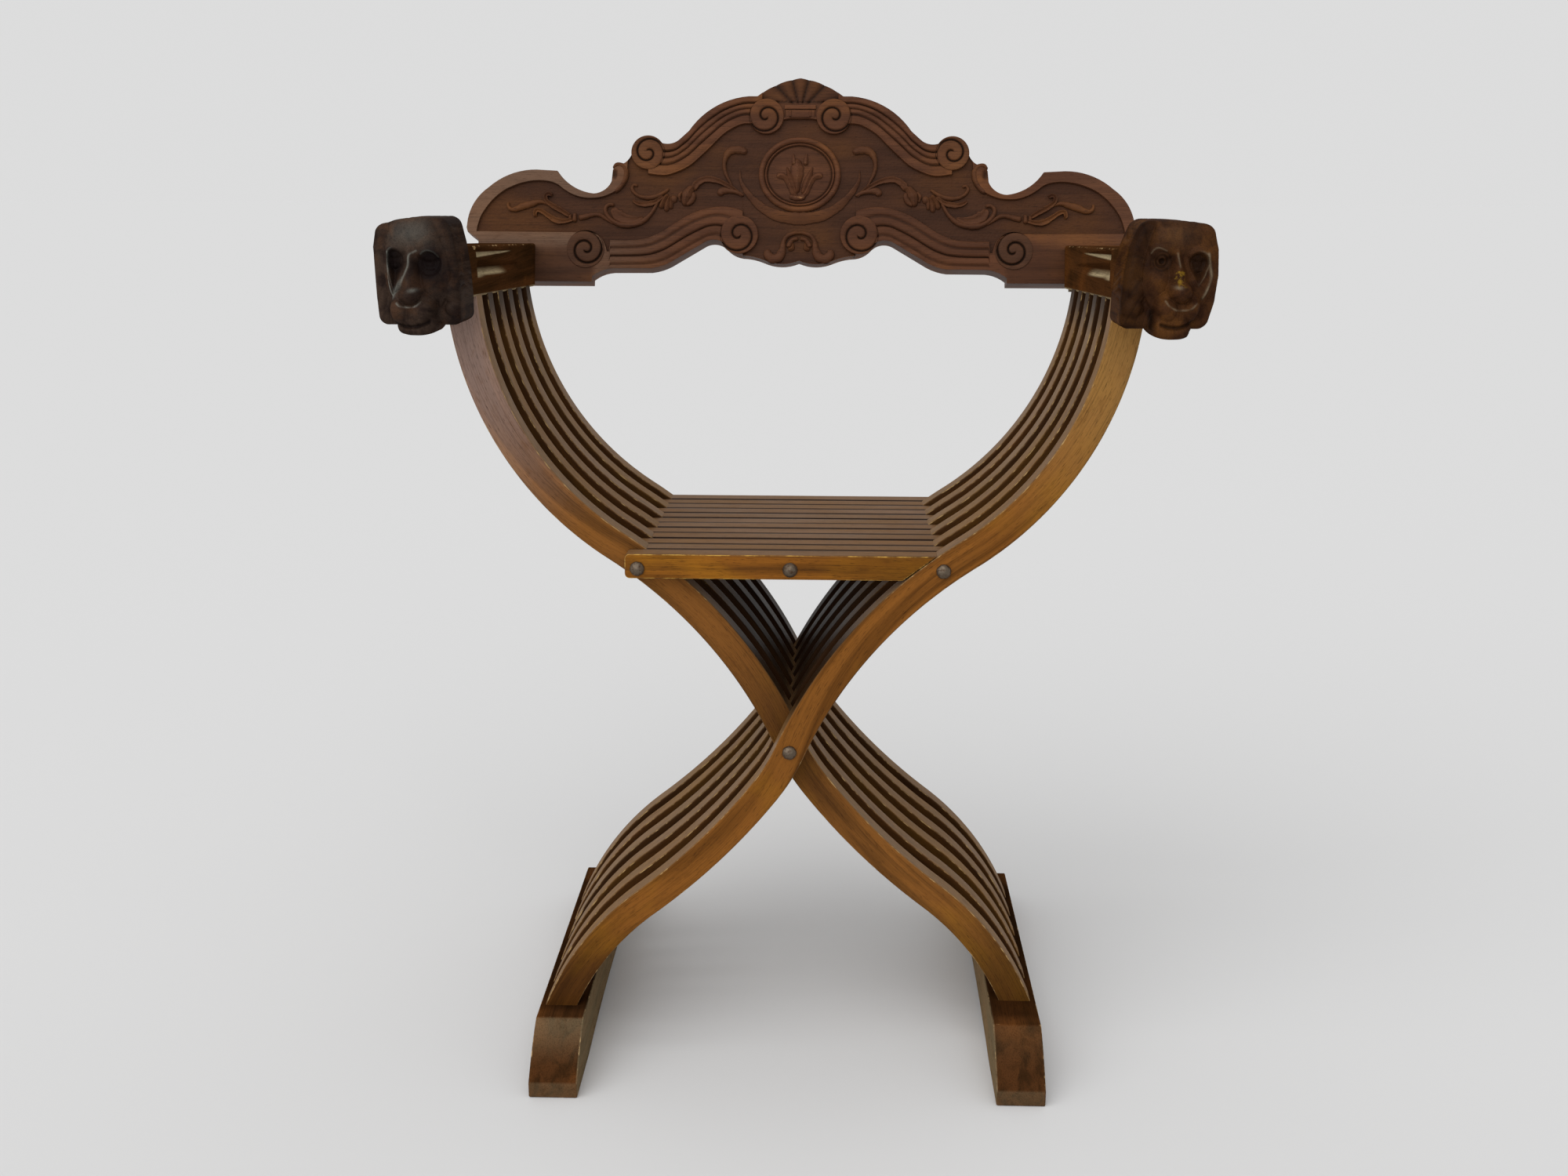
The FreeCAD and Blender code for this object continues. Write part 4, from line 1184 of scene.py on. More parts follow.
@dataclass(frozen=True)
class Studio:
    """A pale floor that meets a pale background, under soft light from above and ahead.

    Attributes:
        background: The colour of floor and background.
        sky: Strength of the light from all round.
        key: Strength of the soft main light.
        key_turn: The main light's tilt from overhead towards the front, and its turn to the left.
        key_angle: Its apparent size.
        floor_reach: Half width of the floor, in metres.
        floor_drop: Floor below the runners, in metres, so that the two don't share a plane.
    """

    background: str = "#dcdcdc"
    sky: float = 0.65
    key: float = 2.0
    key_turn: tuple[float, float] = (56.0, -26.0)
    key_angle: float = 85.0
    floor_reach: float = 30.0
    floor_drop: float = 1e-4

    def add_world(self) -> None:
        """Light from all round; cameras, gloss and glass see a background lit like the floor."""
        world = bpy.data.worlds.new("studio_air")
        world.use_nodes = True
        tree = world.node_tree
        seen = add_node(tree, "LightPath").outputs
        shown = sum_of(tree, "MAXIMUM", seen["Is Camera Ray"], seen["Is Glossy Ray"])
        shown = sum_of(tree, "MAXIMUM", shown, seen["Is Transmission Ray"])
        light = add_node(tree, "Background", {"Color": (1, 1, 1, 1), "Strength": self.sky})
        floor_light = self.sky + self.key * np.cos(np.radians(self.key_turn[0])) / np.pi
        paper = add_node(tree, "Background", {"Color": linear(self.background),
                                              "Strength": floor_light})
        both = add_node(tree, "MixShader", {0: shown, 1: light.outputs[0], 2: paper.outputs[0]})
        tree.links.new(both.outputs[0], tree.nodes["World Output"].inputs[0])
        bpy.context.scene.world = world

    def add_key(self) -> None:
        """The soft main light."""
        lamp = bpy.data.lights.new("soft_key", "SUN")
        lamp.energy = self.key
        lamp.angle = np.radians(self.key_angle)
        tilt, turn = self.key_turn
        light = bpy.data.objects.new("soft_key", lamp)
        light.rotation_euler = (np.radians(tilt), 0, np.radians(turn))
        bpy.context.scene.collection.objects.link(light)

    def add_floor(self) -> None:
        """A plain floor in the background's colour."""
        reach, level = self.floor_reach, -self.floor_drop
        mesh = bpy.data.meshes.new("floor")
        corners = [(-reach, -reach, level), (reach, -reach, level), (reach, reach, level),
                   (-reach, reach, level)]
        mesh.from_pydata(corners, [], [(0, 1, 2, 3)])
        material, tree, shader = surface("floor_paper")
        paper = add_node(tree, "BsdfDiffuse", {"Color": linear(self.background)})
        tree.nodes.remove(shader)
        tree.links.new(paper.outputs[0], tree.nodes["Material Output"].inputs[0])
        mesh.materials.append(material)
        floor = bpy.data.objects.new("floor", mesh)
        bpy.context.scene.collection.objects.link(floor)

    def build(self) -> None:
        """Set the studio up."""
        self.add_world()
        self.add_key()
        self.add_floor()
        bpy.context.scene.view_settings.view_transform = "Standard"


# Armrests


@dataclass(frozen=True)
class Flute:
    """A cove cut into an armrest's inner side, deep behind the head and run out to the rear.

    Attributes:
        start: Its front end, behind the armrest's front end.
        length: From there to where it has run out.
        low: Its lower edge above the armrest's underside.
        deepest: Its deepest line above the underside.
        high: Its upper edge above the underside.
        depth: How deep it is near its front end.
    """

    start: float
    length: float
    low: float
    deepest: float
    high: float
    depth: float

    def cut(self, y: ndarray, rise: ndarray) -> ndarray:
        """How deep the flute is at places on the side.

        The depth falls with the square root of what is left of the length, and across the flute
        it runs straight down to the deepest line from each edge, with a rounded bottom.

        Args:
            y: Distance behind the armrest's front end.
            rise: Height above its underside.

        Returns:
            Depths, 0 outside the flute.
        """
        along = (y - self.start) / self.length
        fade = np.sqrt(np.clip(1 - along, 0, 1)) * smooth(y, self.start, self.start + 4)
        drop = (self.deepest - rise) / np.maximum((self.deepest - self.low) * fade, 1e-6)
        climb = (rise - self.deepest) / np.maximum((self.high - self.deepest) * fade, 1e-6)
        across = np.clip(1 - np.maximum(drop, climb), 0, 1)
        return self.depth * fade * np.minimum(across * 1.25, 1 - 0.35 * (1 - across) ** 2)

    def lit(self, y: ndarray, rise: ndarray) -> ndarray:
        """The share of the painted highlight on the lower slope at the same places, tapering to the
        rear.
        """
        left = np.clip(1 - (y - self.start) / (1.22 * self.length), 0, 1)
        foot = self.deepest - (self.deepest - self.low) * left ** 0.8
        return (smooth(rise, foot - 0.5, foot + 0.5) * smooth(-rise, -self.deepest - 0.4,
                                                              -self.deepest + 0.8)
                * smooth(y, self.start, self.start + 4) * smooth(left, 0.0, 0.1))


@dataclass
class Armrests:
    """The two armrests, fluted on their inner and outer sides.

    Attributes:
        legs: The leg slats that carry them.
        thickness: Top to underside.
        lean: Lean of the rear end, with the back.
        corner: Rounded long edges.
        flutes: The coves of a side.
        chip: Place of the broken corner behind the left head, from the front, its half length, its
            half height and its depth.
        stations: Rings along an armrest.
    """

    legs: CrossedLegs
    thickness: float = 41.0
    lean: float = 13.0
    corner: float = 2.2
    flutes: tuple[Flute, ...] = (Flute(44, 128, 31.5, 35.5, 39.0, 3.0),
                                 Flute(46, 215, 15.5, 22.0, 29.5, 5.5))
    chip: tuple[float, float, float, float] = (42, 9, 4, 2.2)
    stations: int = 200

    def skin(self, side: Side) -> Skin:
        """An armrest as rings, each leaning a little more towards the lean of the rear end.

        Args:
            side: Its side.

        Returns:
            The closed skin.
        """
        low, high = node_box("arm_right")
        front, rear_top = float(low[1]), float(high[1])
        lean, fall = np.radians(self.lean), np.tan(np.radians(self.legs.arm_slope))
        rise = self.thickness / (np.cos(lean) + np.sin(lean) * fall)
        tail = rear_top - rise * np.sin(lean)
        step_end, inset_end = round_over(self.corner)
        step_end /= tail - front
        share = np.concatenate([step_end, np.linspace(0, 1, self.stations + 2)[1:-1],
                                1 - step_end[::-1]])
        share = np.sort(share)
        inset = np.interp(share, np.r_[step_end, 1 - step_end[::-1]],
                          np.r_[inset_end, inset_end[::-1]])
        ring = Section.make(10, 44)
        half_x, half_z = float(high[0] - low[0]) / 2, self.thickness / 2
        across, up = ring.placed(half_x - inset, half_z - inset,
                                 np.maximum(self.corner - inset, 0.05))
        height = up / self.thickness + 0.5
        bottom_y = front + share[:, None] * (tail - front)
        top_y = front + share[:, None] * (rear_top - front)
        y = bottom_y + height * (top_y - bottom_y)
        z = ((1 - height) * self.legs.arm_underside(bottom_y)
             + height * (self.legs.arm_underside(top_y) + self.thickness))
        behind, above = y - front, height * self.thickness
        inner = np.clip(-ring.round_first, 0, 1) * np.ones_like(y)
        outer = np.clip(ring.round_first, 0, 1) * np.ones_like(y)
        cuts = sum(flute.cut(behind, above) for flute in self.flutes)
        draws = np.random.default_rng(500 + side.value)
        chip = np.zeros_like(y)
        if side is Side.LEFT:
            place, length, tall, deepest = self.chip
            spot = np.hypot((behind - place) / length, (above - self.thickness) / tall)
            chip = deepest * smooth(-spot, -1, -0.6) * inner
        # The outer side's flutes are a little shallower.
        across = across + inner * (cuts + chip) - outer * cuts * 0.8
        z = z - chip * 0.6
        x = across + float(low[0] + high[0]) / 2
        # Painted shade on the upper slope of the main flute.
        main = self.flutes[-1]
        deep = (np.clip(cuts / main.depth, 0, 1)
                * smooth(above - main.deepest, -1.0, 5.0) * 0.5)
        grain = np.stack([y, z, x], axis=-1) + draws.uniform(0, 900, 3)
        underside = np.clip(-ring.round_second, 0, 1) * np.ones_like(y)
        # Painted highlights on the flutes' lower slopes, on the underside and along the lower
        # corners.
        lit = sum(flute.lit(behind, above) for flute in self.flutes) * np.maximum(inner, outer)
        lit = 0.85 * lit + 0.2 * underside + 0.6 * ring.worn * smooth(-above, -5, -2)
        values = {"grain": grain, "worn": np.clip(ring.worn * 0.9 + chip, 0, 1),
                  "edge": np.clip(lit, 0, 1), "deep": np.clip(deep, 0, 1)}
        return closed_tube(np.stack([x, y, z], axis=-1), values).on(side)

    def build(self, finish: bpy.types.Material) -> None:
        """Make both armrests.

        Args:
            finish: Their wood.
        """
        for side in Side:
            add_piece(f"{side.word}_arm_wood", self.skin(side), finish, f"{side.word}_frame",
                      [f"arm_{side.word}"], crease=35)


# Carved back


def curve_through(points: ndarray, steps: int) -> ndarray:
    """A smooth line through points.

    Each stretch is a Catmull-Rom cubic: it leaves a point along the line between its neighbours.

    Args:
        points: Rows of places, two or more.
        steps: Steps per stretch.

    Returns:
        Rows of places along the line.
    """
    padded = np.concatenate([2 * points[:1] - points[1:2], points, 2 * points[-1:] - points[-2:-1]])
    before, start, end, after = padded[:-3], padded[1:-2], padded[2:-1], padded[3:]
    share = np.linspace(0, 1, steps, endpoint=False)[None, :, None]
    before, start, end, after = (part[:, None] for part in (before, start, end, after))
    line = 0.5 * (2 * start + (end - before) * share
                  + (2 * before - 5 * start + 4 * end - after) * share ** 2
                  + (3 * start - before - 3 * end + after) * share ** 3)
    return np.concatenate([line.reshape(-1, points.shape[1]), points[-1:]])


class Profile(Enum):
    """Section of a carved strand."""

    BEAD = "half round"
    DISH = "hollow between two raised edges"
    BLADE = "two slopes that meet at a ridge"
    SLOPE = "a broad face, low along its inner side, with a raised outer edge"


@dataclass(frozen=True)
class Strand:
    """A carved strand of ornament on the left half of the back, with its twin on the right.

    Attributes:
        pixels: Where its middle line runs in the picture.
        widths: Its widths along that line, evenly spread.
        height: Above the sunk ground.
        profile: Its section.
        twin: Whether the right half has a mirrored copy.
        lift: Of its foot above the sunk ground.
    """

    pixels: tuple[tuple[float, float], ...]
    widths: tuple[float, ...]
    height: float = 3.2
    profile: Profile = Profile.BEAD
    twin: bool = True
    lift: float = 0.0


@dataclass(frozen=True)
class Volute:
    """A coiled end of a band of reeds.

    Attributes:
        pixel: Its middle in the picture.
        radius: Of its outermost turn.
        turns: How often the coil goes round.
        hand: 1 where the coil winds inwards clockwise, -1 the other way.
        start: Where the groove leaves the outline, in degrees.
        height: Above the sunk ground.
    """

    pixel: tuple[float, float]
    radius: float
    turns: float
    hand: int
    start: float
    height: float = 4.4


# The edge of the sunk ground on the left half, in the picture: over the lobe and round the notch,
# under the upper band of reeds, and over the lower band.
LOBE_EDGE = ((608.5, 289), (613, 275.7), (620.6, 263.5), (629.8, 252.8), (642, 242.8),
             (655.8, 235.9), (669.6, 231.6), (684.9, 229.5), (700.2, 230.6), (710.9, 234.4),
             (720.1, 241.3), (730.8, 247.4), (743, 251.2), (755.3, 252), (767.6, 250.5),
             (779.8, 245.9), (790.5, 239), (797.4, 229.8), (799.7, 219.1))
UPPER_BAND_EDGE = ((826.5, 220.8), (847, 222.9), (863, 218.8), (879.6, 210.6), (893.9, 198.4),
                   (908, 185), (922.4, 170.8), (936.7, 161.6), (951, 157), (977, 158))
LOWER_BAND_EDGE = ((777.6, 306.5), (802, 306.5), (822.4, 304.5), (842.9, 296.3), (859.2, 286),
                   (875.5, 275.9), (891.8, 268.8), (908.2, 264.7), (924.5, 263.7),
                   (940.8, 266.7), (948, 270))
STRAIGHT_EDGE = ((608.5, 295), (672, 295.8), (735, 296.5), (752, 296.7), (759, 298), (764, 301),
                 (768, 305), (771.5, 312), (774, 321))

STRANDS = (
    # The crescent that hugs the medallion and runs out in a spike.
    Strand(((1030, 278), (1018, 278.4), (995, 275.6), (975, 266.5), (959.5, 253), (949.5, 240),
            (944, 228), (943.6, 215.5)), (15, 15.5, 14.5, 12.5, 10, 7.5, 4.6, 1.0), 3.2,
           Profile.SLOPE),
    # The branch, its curl and its knob leaf.
    Strand(((947, 250), (936, 241), (926, 235), (915, 230), (900, 228), (889, 233.5),
            (884, 242)), (3, 5, 6.5, 7.4, 8.4, 9, 8), 3.4, Profile.DISH),
    Strand(((936, 243), (931, 232), (925.6, 221), (923.6, 210), (926, 199), (931.6, 192),
            (940, 190.4), (947.5, 191.6), (952, 195.5)), (2.4, 3.6, 4.4, 5, 6, 8, 10.5, 11, 7),
           3.6),
    Strand(((949, 249), (939, 244.6), (929, 242.6), (920.6, 243), (917.6, 249.4)),
           (3, 5.4, 7, 9.4, 8), 3.6),
    # The folded bud leaf, the round bud and the lobed leaf.
    Strand(((886, 237), (880, 241.5), (875.6, 249), (873.6, 257), (873.6, 262.5)),
           (7, 12, 16.5, 13, 5), 4.4, Profile.BLADE),
    Strand(((884, 244), (884.4, 251), (880, 257.5), (874.5, 261.4)), (4, 7, 7, 4), 3.6),
    Strand(((870.5, 243), (866.4, 249), (867.6, 257)), (3, 5, 2.4), 3.4),
    Strand(((859.4, 248.2), (859.2, 258.4)), (9.4, 9.4), 2.8),
    Strand(((852, 247), (845.6, 256), (842, 265.6)), (6, 9, 7), 3.8, Profile.BLADE),
    Strand(((854, 249), (850.8, 259), (849.4, 269.6)), (5, 9, 7), 3.6, Profile.BLADE),
    Strand(((856, 250), (855.4, 259), (855.6, 266.4)), (4, 7, 6), 3.2, Profile.BLADE),
    # The acanthus: an upper strand that ends in a hook, and a broader lower one.
    Strand(((853.4, 240), (848.5, 243.5), (840, 248.6), (828.3, 251.7), (816.7, 250.2),
            (808.6, 245), (805.8, 239.2), (808.6, 235.4), (813.4, 236.8)),
           (3, 5, 6, 6, 5.4, 5, 4.4, 4, 3.6), 3.4),
    Strand(((846, 249), (838.3, 255.6), (829.6, 259), (819, 260), (811.2, 258), (806.4, 254)),
           (4, 6, 7.4, 7, 6, 4), 3.0, Profile.DISH),
    # The C scroll round its hollow leaf.
    Strand(((781.5, 264), (786, 272.4), (796.5, 278.4), (809, 280), (820, 276)),
           (8, 14, 14.5, 10, 3), 2.2, Profile.DISH),
    Strand(((841, 252), (836.4, 261.7), (830.4, 271.7), (821.4, 280.4), (808.3, 286.2),
            (792, 286.4), (780, 280.4), (772.8, 271.7), (772.2, 264.4), (777, 260.4),
            (783.6, 261)), (3, 4.4, 5, 6.4, 7.4, 7.6, 7, 6, 5.6, 5.4, 4.4), 3.8),
    Strand(((791, 267), (794.4, 273), (799.6, 277)), (3, 4.4, 2), 3.2),
    # The stem to the far sprig, and its knots.
    Strand(((783, 285), (775.5, 280.4), (765.6, 274), (756.7, 273.3), (746.7, 275.6),
            (737, 277.6)), (3, 4.6, 5.4, 6, 7, 7.6), 3.4),
    Strand(((733, 270.6), (732.4, 283.2)), (5.6, 5.6), 4.0),
    Strand(((726.8, 271.6), (726.4, 282.6)), (4.4, 4.4), 3.4),
    # The sprig: a double lower strand, a looped middle one and a broad far one.
    Strand(((731, 279), (720.5, 281.6), (710, 281), (700, 275.4), (691, 269.2), (684.4, 267.8),
            (682, 272.4), (683.6, 276)), (5, 6.6, 8, 8, 7, 6, 6, 5), 3.4, Profile.DISH),
    Strand(((727, 275.5), (721.7, 271.8), (713.3, 266.8), (703.3, 261.2), (696.6, 255),
            (696, 248.8), (700.4, 246.8), (704.4, 249.6)), (5, 7, 7.6, 7.2, 6.6, 6, 5.4, 5),
           3.8, Profile.DISH),
    Strand(((701, 261), (693.3, 257.6), (686.7, 256.9), (676.7, 259.6), (666.7, 262.4),
            (658.3, 266), (651.7, 266.6), (647.9, 262.4), (647.7, 257)),
           (3, 4.4, 6, 9, 9.4, 8.6, 7, 5, 3), 3.4),
    # The fleur in the medallion: base, outer petals that curl out, upright petals, bud.
    Strand(((1016.4, 252), (1011, 244), (1007, 234.5), (1002.4, 227), (996, 223.6),
            (990.6, 225)), (6, 8.4, 8.4, 8, 9, 10.4), 2.6, Profile.BLADE, lift=1.9),
    Strand(((1016, 247), (1011.6, 234), (1006.6, 222), (1003.4, 212.4)), (6, 9, 8.4, 2), 3.0,
           Profile.BLADE, lift=1.9),
    Strand(((1016.9, 246), (1016.9, 233), (1016.9, 221), (1016.9, 211), (1016.9, 202.4)),
           (5, 10, 16.4, 18.4, 9), 4.0, Profile.BLADE, False, 1.9),
    Strand(((1013, 211), (1012.4, 203), (1011.6, 195.4)), (6.4, 5, 1.6), 3.0, lift=2.2),
    Strand(((1006.4, 250.4), (1017, 252.4), (1027.6, 250.4)), (6, 7.4, 6), 2.8,
           Profile.BEAD, False, 1.9),
    # The omega scroll at the bottom, with its inner arch.
    Strand(((1022, 296.6), (1013, 296.8), (1004, 300.8), (999.4, 308), (997.6, 319),
            (993.2, 327.6), (985, 329.6), (979.2, 323.8), (980, 317)),
           (5, 5, 5.4, 6.4, 8.4, 12, 13, 12, 7), 3.8),
    Strand(((1018.5, 303.6), (1011, 305.4), (1006.4, 311.6), (1005.4, 316)), (5, 5.4, 6, 7),
           3.2),
    Strand(((1033.5, 318), (1028, 316), (1027, 309)), (5, 6.4, 3), 3.0, Profile.BLADE),
    # The rim of the hook at the end of the notch.
    Strand(((783.6, 245), (792, 236.6), (797, 227.4), (798, 217.6), (793.4, 210.6),
            (786.4, 209.6), (782, 214.4)), (5, 6.4, 7, 7.4, 7.4, 6, 4), 4.2),
)

VOLUTES = (Volute((826.6, 194.2), 16.4, 1.55, 1, -30.0),
           Volute((977.6, 148.2), 17.0, 1.5, 1, 175.0),
           Volute((942.6, 299.0), 18.6, 1.5, 1, 178.0),
           Volute((746.9, 317.6), 18.4, 1.75, -1, 90.0))

# The collar under the shell, the medallion, and the hollow in the notch's hook, in the picture.
COLLAR_CORNERS = ((1000.5, 149.4), (1035.5, 133.8))
MEDALLION_MIDDLE = (1018.2, 222.4)
HOOK_HOLLOW = (784.2, 221.8)


@dataclass
class CarvedBack:
    """The carved back: a board with a sunk, punched ground, bands of reeds and raised ornament.

    Board places are u across, v up its slope from its lower edge, and d behind its face.

    Attributes:
        view: Where the picture is seen from, which gives the ornament its place.
        thickness: Of the board.
        lean: From upright.
        sunk: Depth of the ground.
        wall: Width of the slope from rim to ground.
        corner: Rounded edges of the outline.
        groove: Depth of the grooves in the bands.
        groove_width: Half width of such a groove.
        upper_reeds: Where the upper band's grooves run, from the ground to the outline, and how
            deep each is as a share of the full depth.
        lower_reeds: The same for the lower band.
        medallion_half: The medallion's half width and half height.
        shell_half: Half width of the shell.
        jumps: Where the outline steps, away from the middle.
        upper_span: Where the upper band's grooves start, are full, ebb and end.
        lower_start: Where the lower band's grooves start and are full.
        shell_flutes: Flutes of the shell per radian of its fan.
        flute_depths: Least and most depth of those flutes.
        hook_pit: Half width, half height and depth of the hollow in the notch's hook.
        block_up: Rise of the plain blocks at the lower ends, where their painted shadow starts and
            is full.
        block_out: The same away from the middle.
        sun_left: Where the rim's painted glare starts towards the left end, and where it is palest.
        sun_right: The same towards the right end.
        grain_rise: Keeps the grain's middle off the ornament.
        columns: Rings along the board.
    """

    view: Viewpoint
    thickness: float = 22.0
    lean: float = 13.0
    sunk: float = 3.5
    wall: float = 1.1
    corner: float = 1.4
    groove: float = 2.2
    groove_width: float = 0.72
    upper_reeds: tuple[tuple[float, float], ...] = ((0.33, 1.0), (0.55, 0.55), (0.75, 0.95))
    lower_reeds: tuple[tuple[float, float], ...] = ((0.24, 1.0), (0.52, 0.8), (0.8, 0.7))
    medallion_half: tuple[float, float] = (40.0, 36.4)
    shell_half: float = 37.0
    jumps: tuple[float, float] = (201.35, 312.65)
    upper_span: tuple[float, float, float, float] = (26, 28, 141.5, 143)
    lower_start: tuple[float, float] = (52, 54)
    shell_flutes: float = 6.3
    flute_depths: tuple[float, float] = (1.1, 2.2)
    hook_pit: tuple[float, float, float] = (2.6, 4.6, 2.4)
    block_up: tuple[float, float] = (-42, -27)
    block_out: tuple[float, float] = (196, 204)
    sun_left: tuple[float, float] = (110, 250)
    sun_right: tuple[float, float] = (180, 300)
    grain_rise: float = 40.0
    columns: int = 620

    def __post_init__(self) -> None:
        """Take the board's place and outline from the frame."""
        low, _ = node_box("back_panel")
        lean = np.radians(self.lean)
        self.base = np.array([0, low[1], low[2] + self.thickness * np.sin(lean)])
        self.up = np.array([0, np.sin(lean), np.cos(lean)])
        self.behind = np.array([0, np.cos(lean), -np.sin(lean)])
        mesh = frame["nodes"]["back_panel"].data
        places = np.zeros(len(mesh.vertices) * 3, np.float32)
        mesh.vertices.foreach_get("co", places)
        places = places.reshape(-1, 3) / METRES - self.base
        flat = np.stack([places[:, 0], places @ self.up, places @ self.behind], axis=1)
        pairs = np.zeros(len(mesh.edges) * 2, np.int32)
        mesh.edges.foreach_get("vertices", pairs)
        ends = flat[pairs.reshape(-1, 2)]
        rear = (np.abs(ends[..., 2] - self.thickness) < 0.05).all(axis=1)
        self.rear_edges = ends[rear][..., :2]
        corners = self.traced(COLLAR_CORNERS)
        self.collar_half = float(corners[1, 0] - corners[0, 0]) / 2
        self.collar_low, self.collar_high = (float(height) for height in corners[:, 1])
        self.medallion_rise = float(self.traced([MEDALLION_MIDDLE])[0, 1])

    def outline_at(self, across: ndarray) -> tuple[ndarray, ndarray]:
        """The board's lowest and highest edge at each u, from the frame's flat rear face."""
        start, end = self.rear_edges[:, 0], self.rear_edges[:, 1]
        span = end[:, 0] - start[:, 0]
        span = np.where(np.abs(span) < 1e-9, 1e-9, span)
        share = (across[:, None] - start[:, 0]) / span
        height = start[:, 1] + share * (end[:, 1] - start[:, 1])
        crossed = (share >= 0) & (share <= 1)
        lowest = np.where(crossed, height, np.inf).min(axis=1)
        highest = np.where(crossed, height, -np.inf).max(axis=1)
        return lowest, highest

    def traced(self, pixels: Sequence[tuple[float, float]]) -> ndarray:
        """Pixels of the picture as u and v on the board's face, one row per pixel."""
        spots = self.view.onto_plane(np.array(pixels, float), self.base, self.behind) - self.base
        return np.stack([spots[:, 0], spots @ self.up], axis=1)

    def in_chair(self, across: ndarray, up: ndarray, depth: ndarray) -> ndarray:
        """Board places as places in the chair."""
        flat = np.stack([across, 0 * across, 0 * across], axis=-1)
        return self.base + flat + up[..., None] * self.up + depth[..., None] * self.behind

    def carving(self, u: ndarray, v: ndarray, depth: ndarray, worn: ndarray | float = 0.0,
                edge: ndarray | float = 0.0, deep: ndarray | float = 0.0) -> Skin:
        """A closed skin through board places.

        Args:
            u: Places across, one row per ring.
            v: Places up.
            depth: Places behind the face.
            worn: Share of bare wood.
            edge: Share of painted glare.
            deep: Share of dark wax, and of painted shadow.

        Returns:
            The closed skin.
        """
        values = {"grain": np.stack([u, v + self.grain_rise, depth], axis=-1),
                  "worn": worn + 0 * u, "edge": edge + 0 * u, "deep": deep + 0 * u}
        return closed_tube(self.in_chair(u, v, depth), values)

    def ground_edges(self, across: ndarray, low: ndarray, high: ndarray) -> tuple[ndarray, ndarray]:
        """Where the sunk ground starts and ends at each u, from the traced lines.

        Args:
            across: Places along the board.
            low: Its lower outline there.
            high: Its upper outline there.

        Returns:
            The ground's lower and upper edge.
        """
        away = np.abs(across)

        def follow(pixels: Sequence[tuple[float, float]]) -> ndarray:
            line = curve_through(self.traced(pixels), 6)
            order = np.argsort(-line[:, 0])
            return np.interp(away, -line[order, 0], line[order, 1])

        lobe, band = follow(LOBE_EDGE), follow(UPPER_BAND_EDGE)
        lower, straight = follow(LOWER_BAND_EDGE), follow(STRAIGHT_EDGE)
        ends = {name: -self.traced(line)[:, 0] for name, line in
                (("lobe", LOBE_EDGE), ("band", UPPER_BAND_EDGE), ("lower", LOWER_BAND_EDGE))}
        top = np.where(away >= ends["lobe"].min(), lobe, high + 3)
        top = np.where(away <= ends["band"].max(), band, top)
        arch = self.collar_low - 1.0 - 5.0 * np.clip((away - 8) / 18, 0, 1) ** 2
        top = np.where(away <= 27, arch, top)
        bottom = np.where(away >= ends["lower"].max(), straight, lower)
        bottom = np.where(away <= ends["lower"].min(), low - 3, bottom)
        closed = away >= ends["lobe"].max()
        middle = np.where(closed, straight, 0)
        return np.where(closed, middle, bottom), np.where(closed, middle, np.maximum(top, bottom))

    def board(self) -> Skin:
        """The board as a ring of points at each u: up its face, over the top, and down its back.

        On the face, the depth is 0 on the rim and falls to the ground over the wall's width. In
        the bands, the depth follows a row of arches, one per reed. Above the collar it follows
        the flutes of a shell, which fan out from the collar's middle.

        Returns:
            The closed skin.
        """
        reach = float(node_box("back_panel")[1][0])
        across = np.linspace(-reach + 0.02, reach - 0.02, self.columns)
        near = np.add.outer(self.jumps, (-0.3, -0.03, 0.03, 0.3)).ravel()
        across = np.sort(np.concatenate([across, near, -near]))
        across = across[np.r_[True, np.diff(across) > 0.02]]
        low, high = self.outline_at(across)
        ground_low, ground_high = self.ground_edges(across, low, high)
        low_edge, high_edge = (np.clip(edge, low + 0.05, high - 0.05)
                               for edge in (ground_low, ground_high))
        round_share = np.sin(np.radians(np.linspace(0, 90, 4)))
        inner = np.linspace(0, 1, 26)
        wall = np.minimum(self.wall, (high_edge - low_edge) / 2)[:, None]
        edge_in = self.corner * (1 - round_share[::-1])
        room_low = (low_edge - low)[:, None]
        room_high = (high - high_edge)[:, None]
        rim_low = low[:, None] + np.minimum(edge_in[::-1], room_low * 0.5)
        band_low = (rim_low[:, -1:] + np.maximum(low_edge[:, None] - rim_low[:, -1:], 0)
                    * np.linspace(0, 1, 28)[None, 1:])
        walls = np.array([0.35, 0.7, 1.0])
        first = low_edge[:, None] + wall * walls
        last = high_edge[:, None] - wall * walls[::-1]
        field_rows = first[:, -1:] + (last[:, :1] - first[:, -1:]) * inner[None, 1:-1]
        rim_high = high[:, None] - np.minimum(edge_in, room_high * 0.5)
        rim_high = np.sort(rim_high, axis=1)
        band_high = (high_edge[:, None] + np.maximum(rim_high[:, :1] - high_edge[:, None], 0)
                     * np.linspace(0, 1, 34)[None, :-1])
        rows = np.concatenate([rim_low, band_low, first, field_rows, last, band_high, rim_high],
                              axis=1)
        rows = np.maximum.accumulate(rows, axis=1)
        u = across[:, None] + 0 * rows
        depth, deep, worn, faded = self.face_depth(u, rows, low, high, low_edge, high_edge)
        back_v = np.stack([high, high - self.corner, (low + high) / 2, low + self.corner, low],
                          axis=1)
        rounded = self.thickness - self.corner
        back_d = np.array([rounded, *[self.thickness] * 3, rounded]) + 0 * back_v
        v = np.concatenate([rows, back_v], axis=1)
        deep, worn, faded = (np.pad(share, ((0, 0), (0, back_v.shape[1])))
                             for share in (deep, worn, faded))
        return self.carving(across[:, None] + 0 * v, v, np.concatenate([depth, back_d], axis=1),
                            worn, faded, deep)

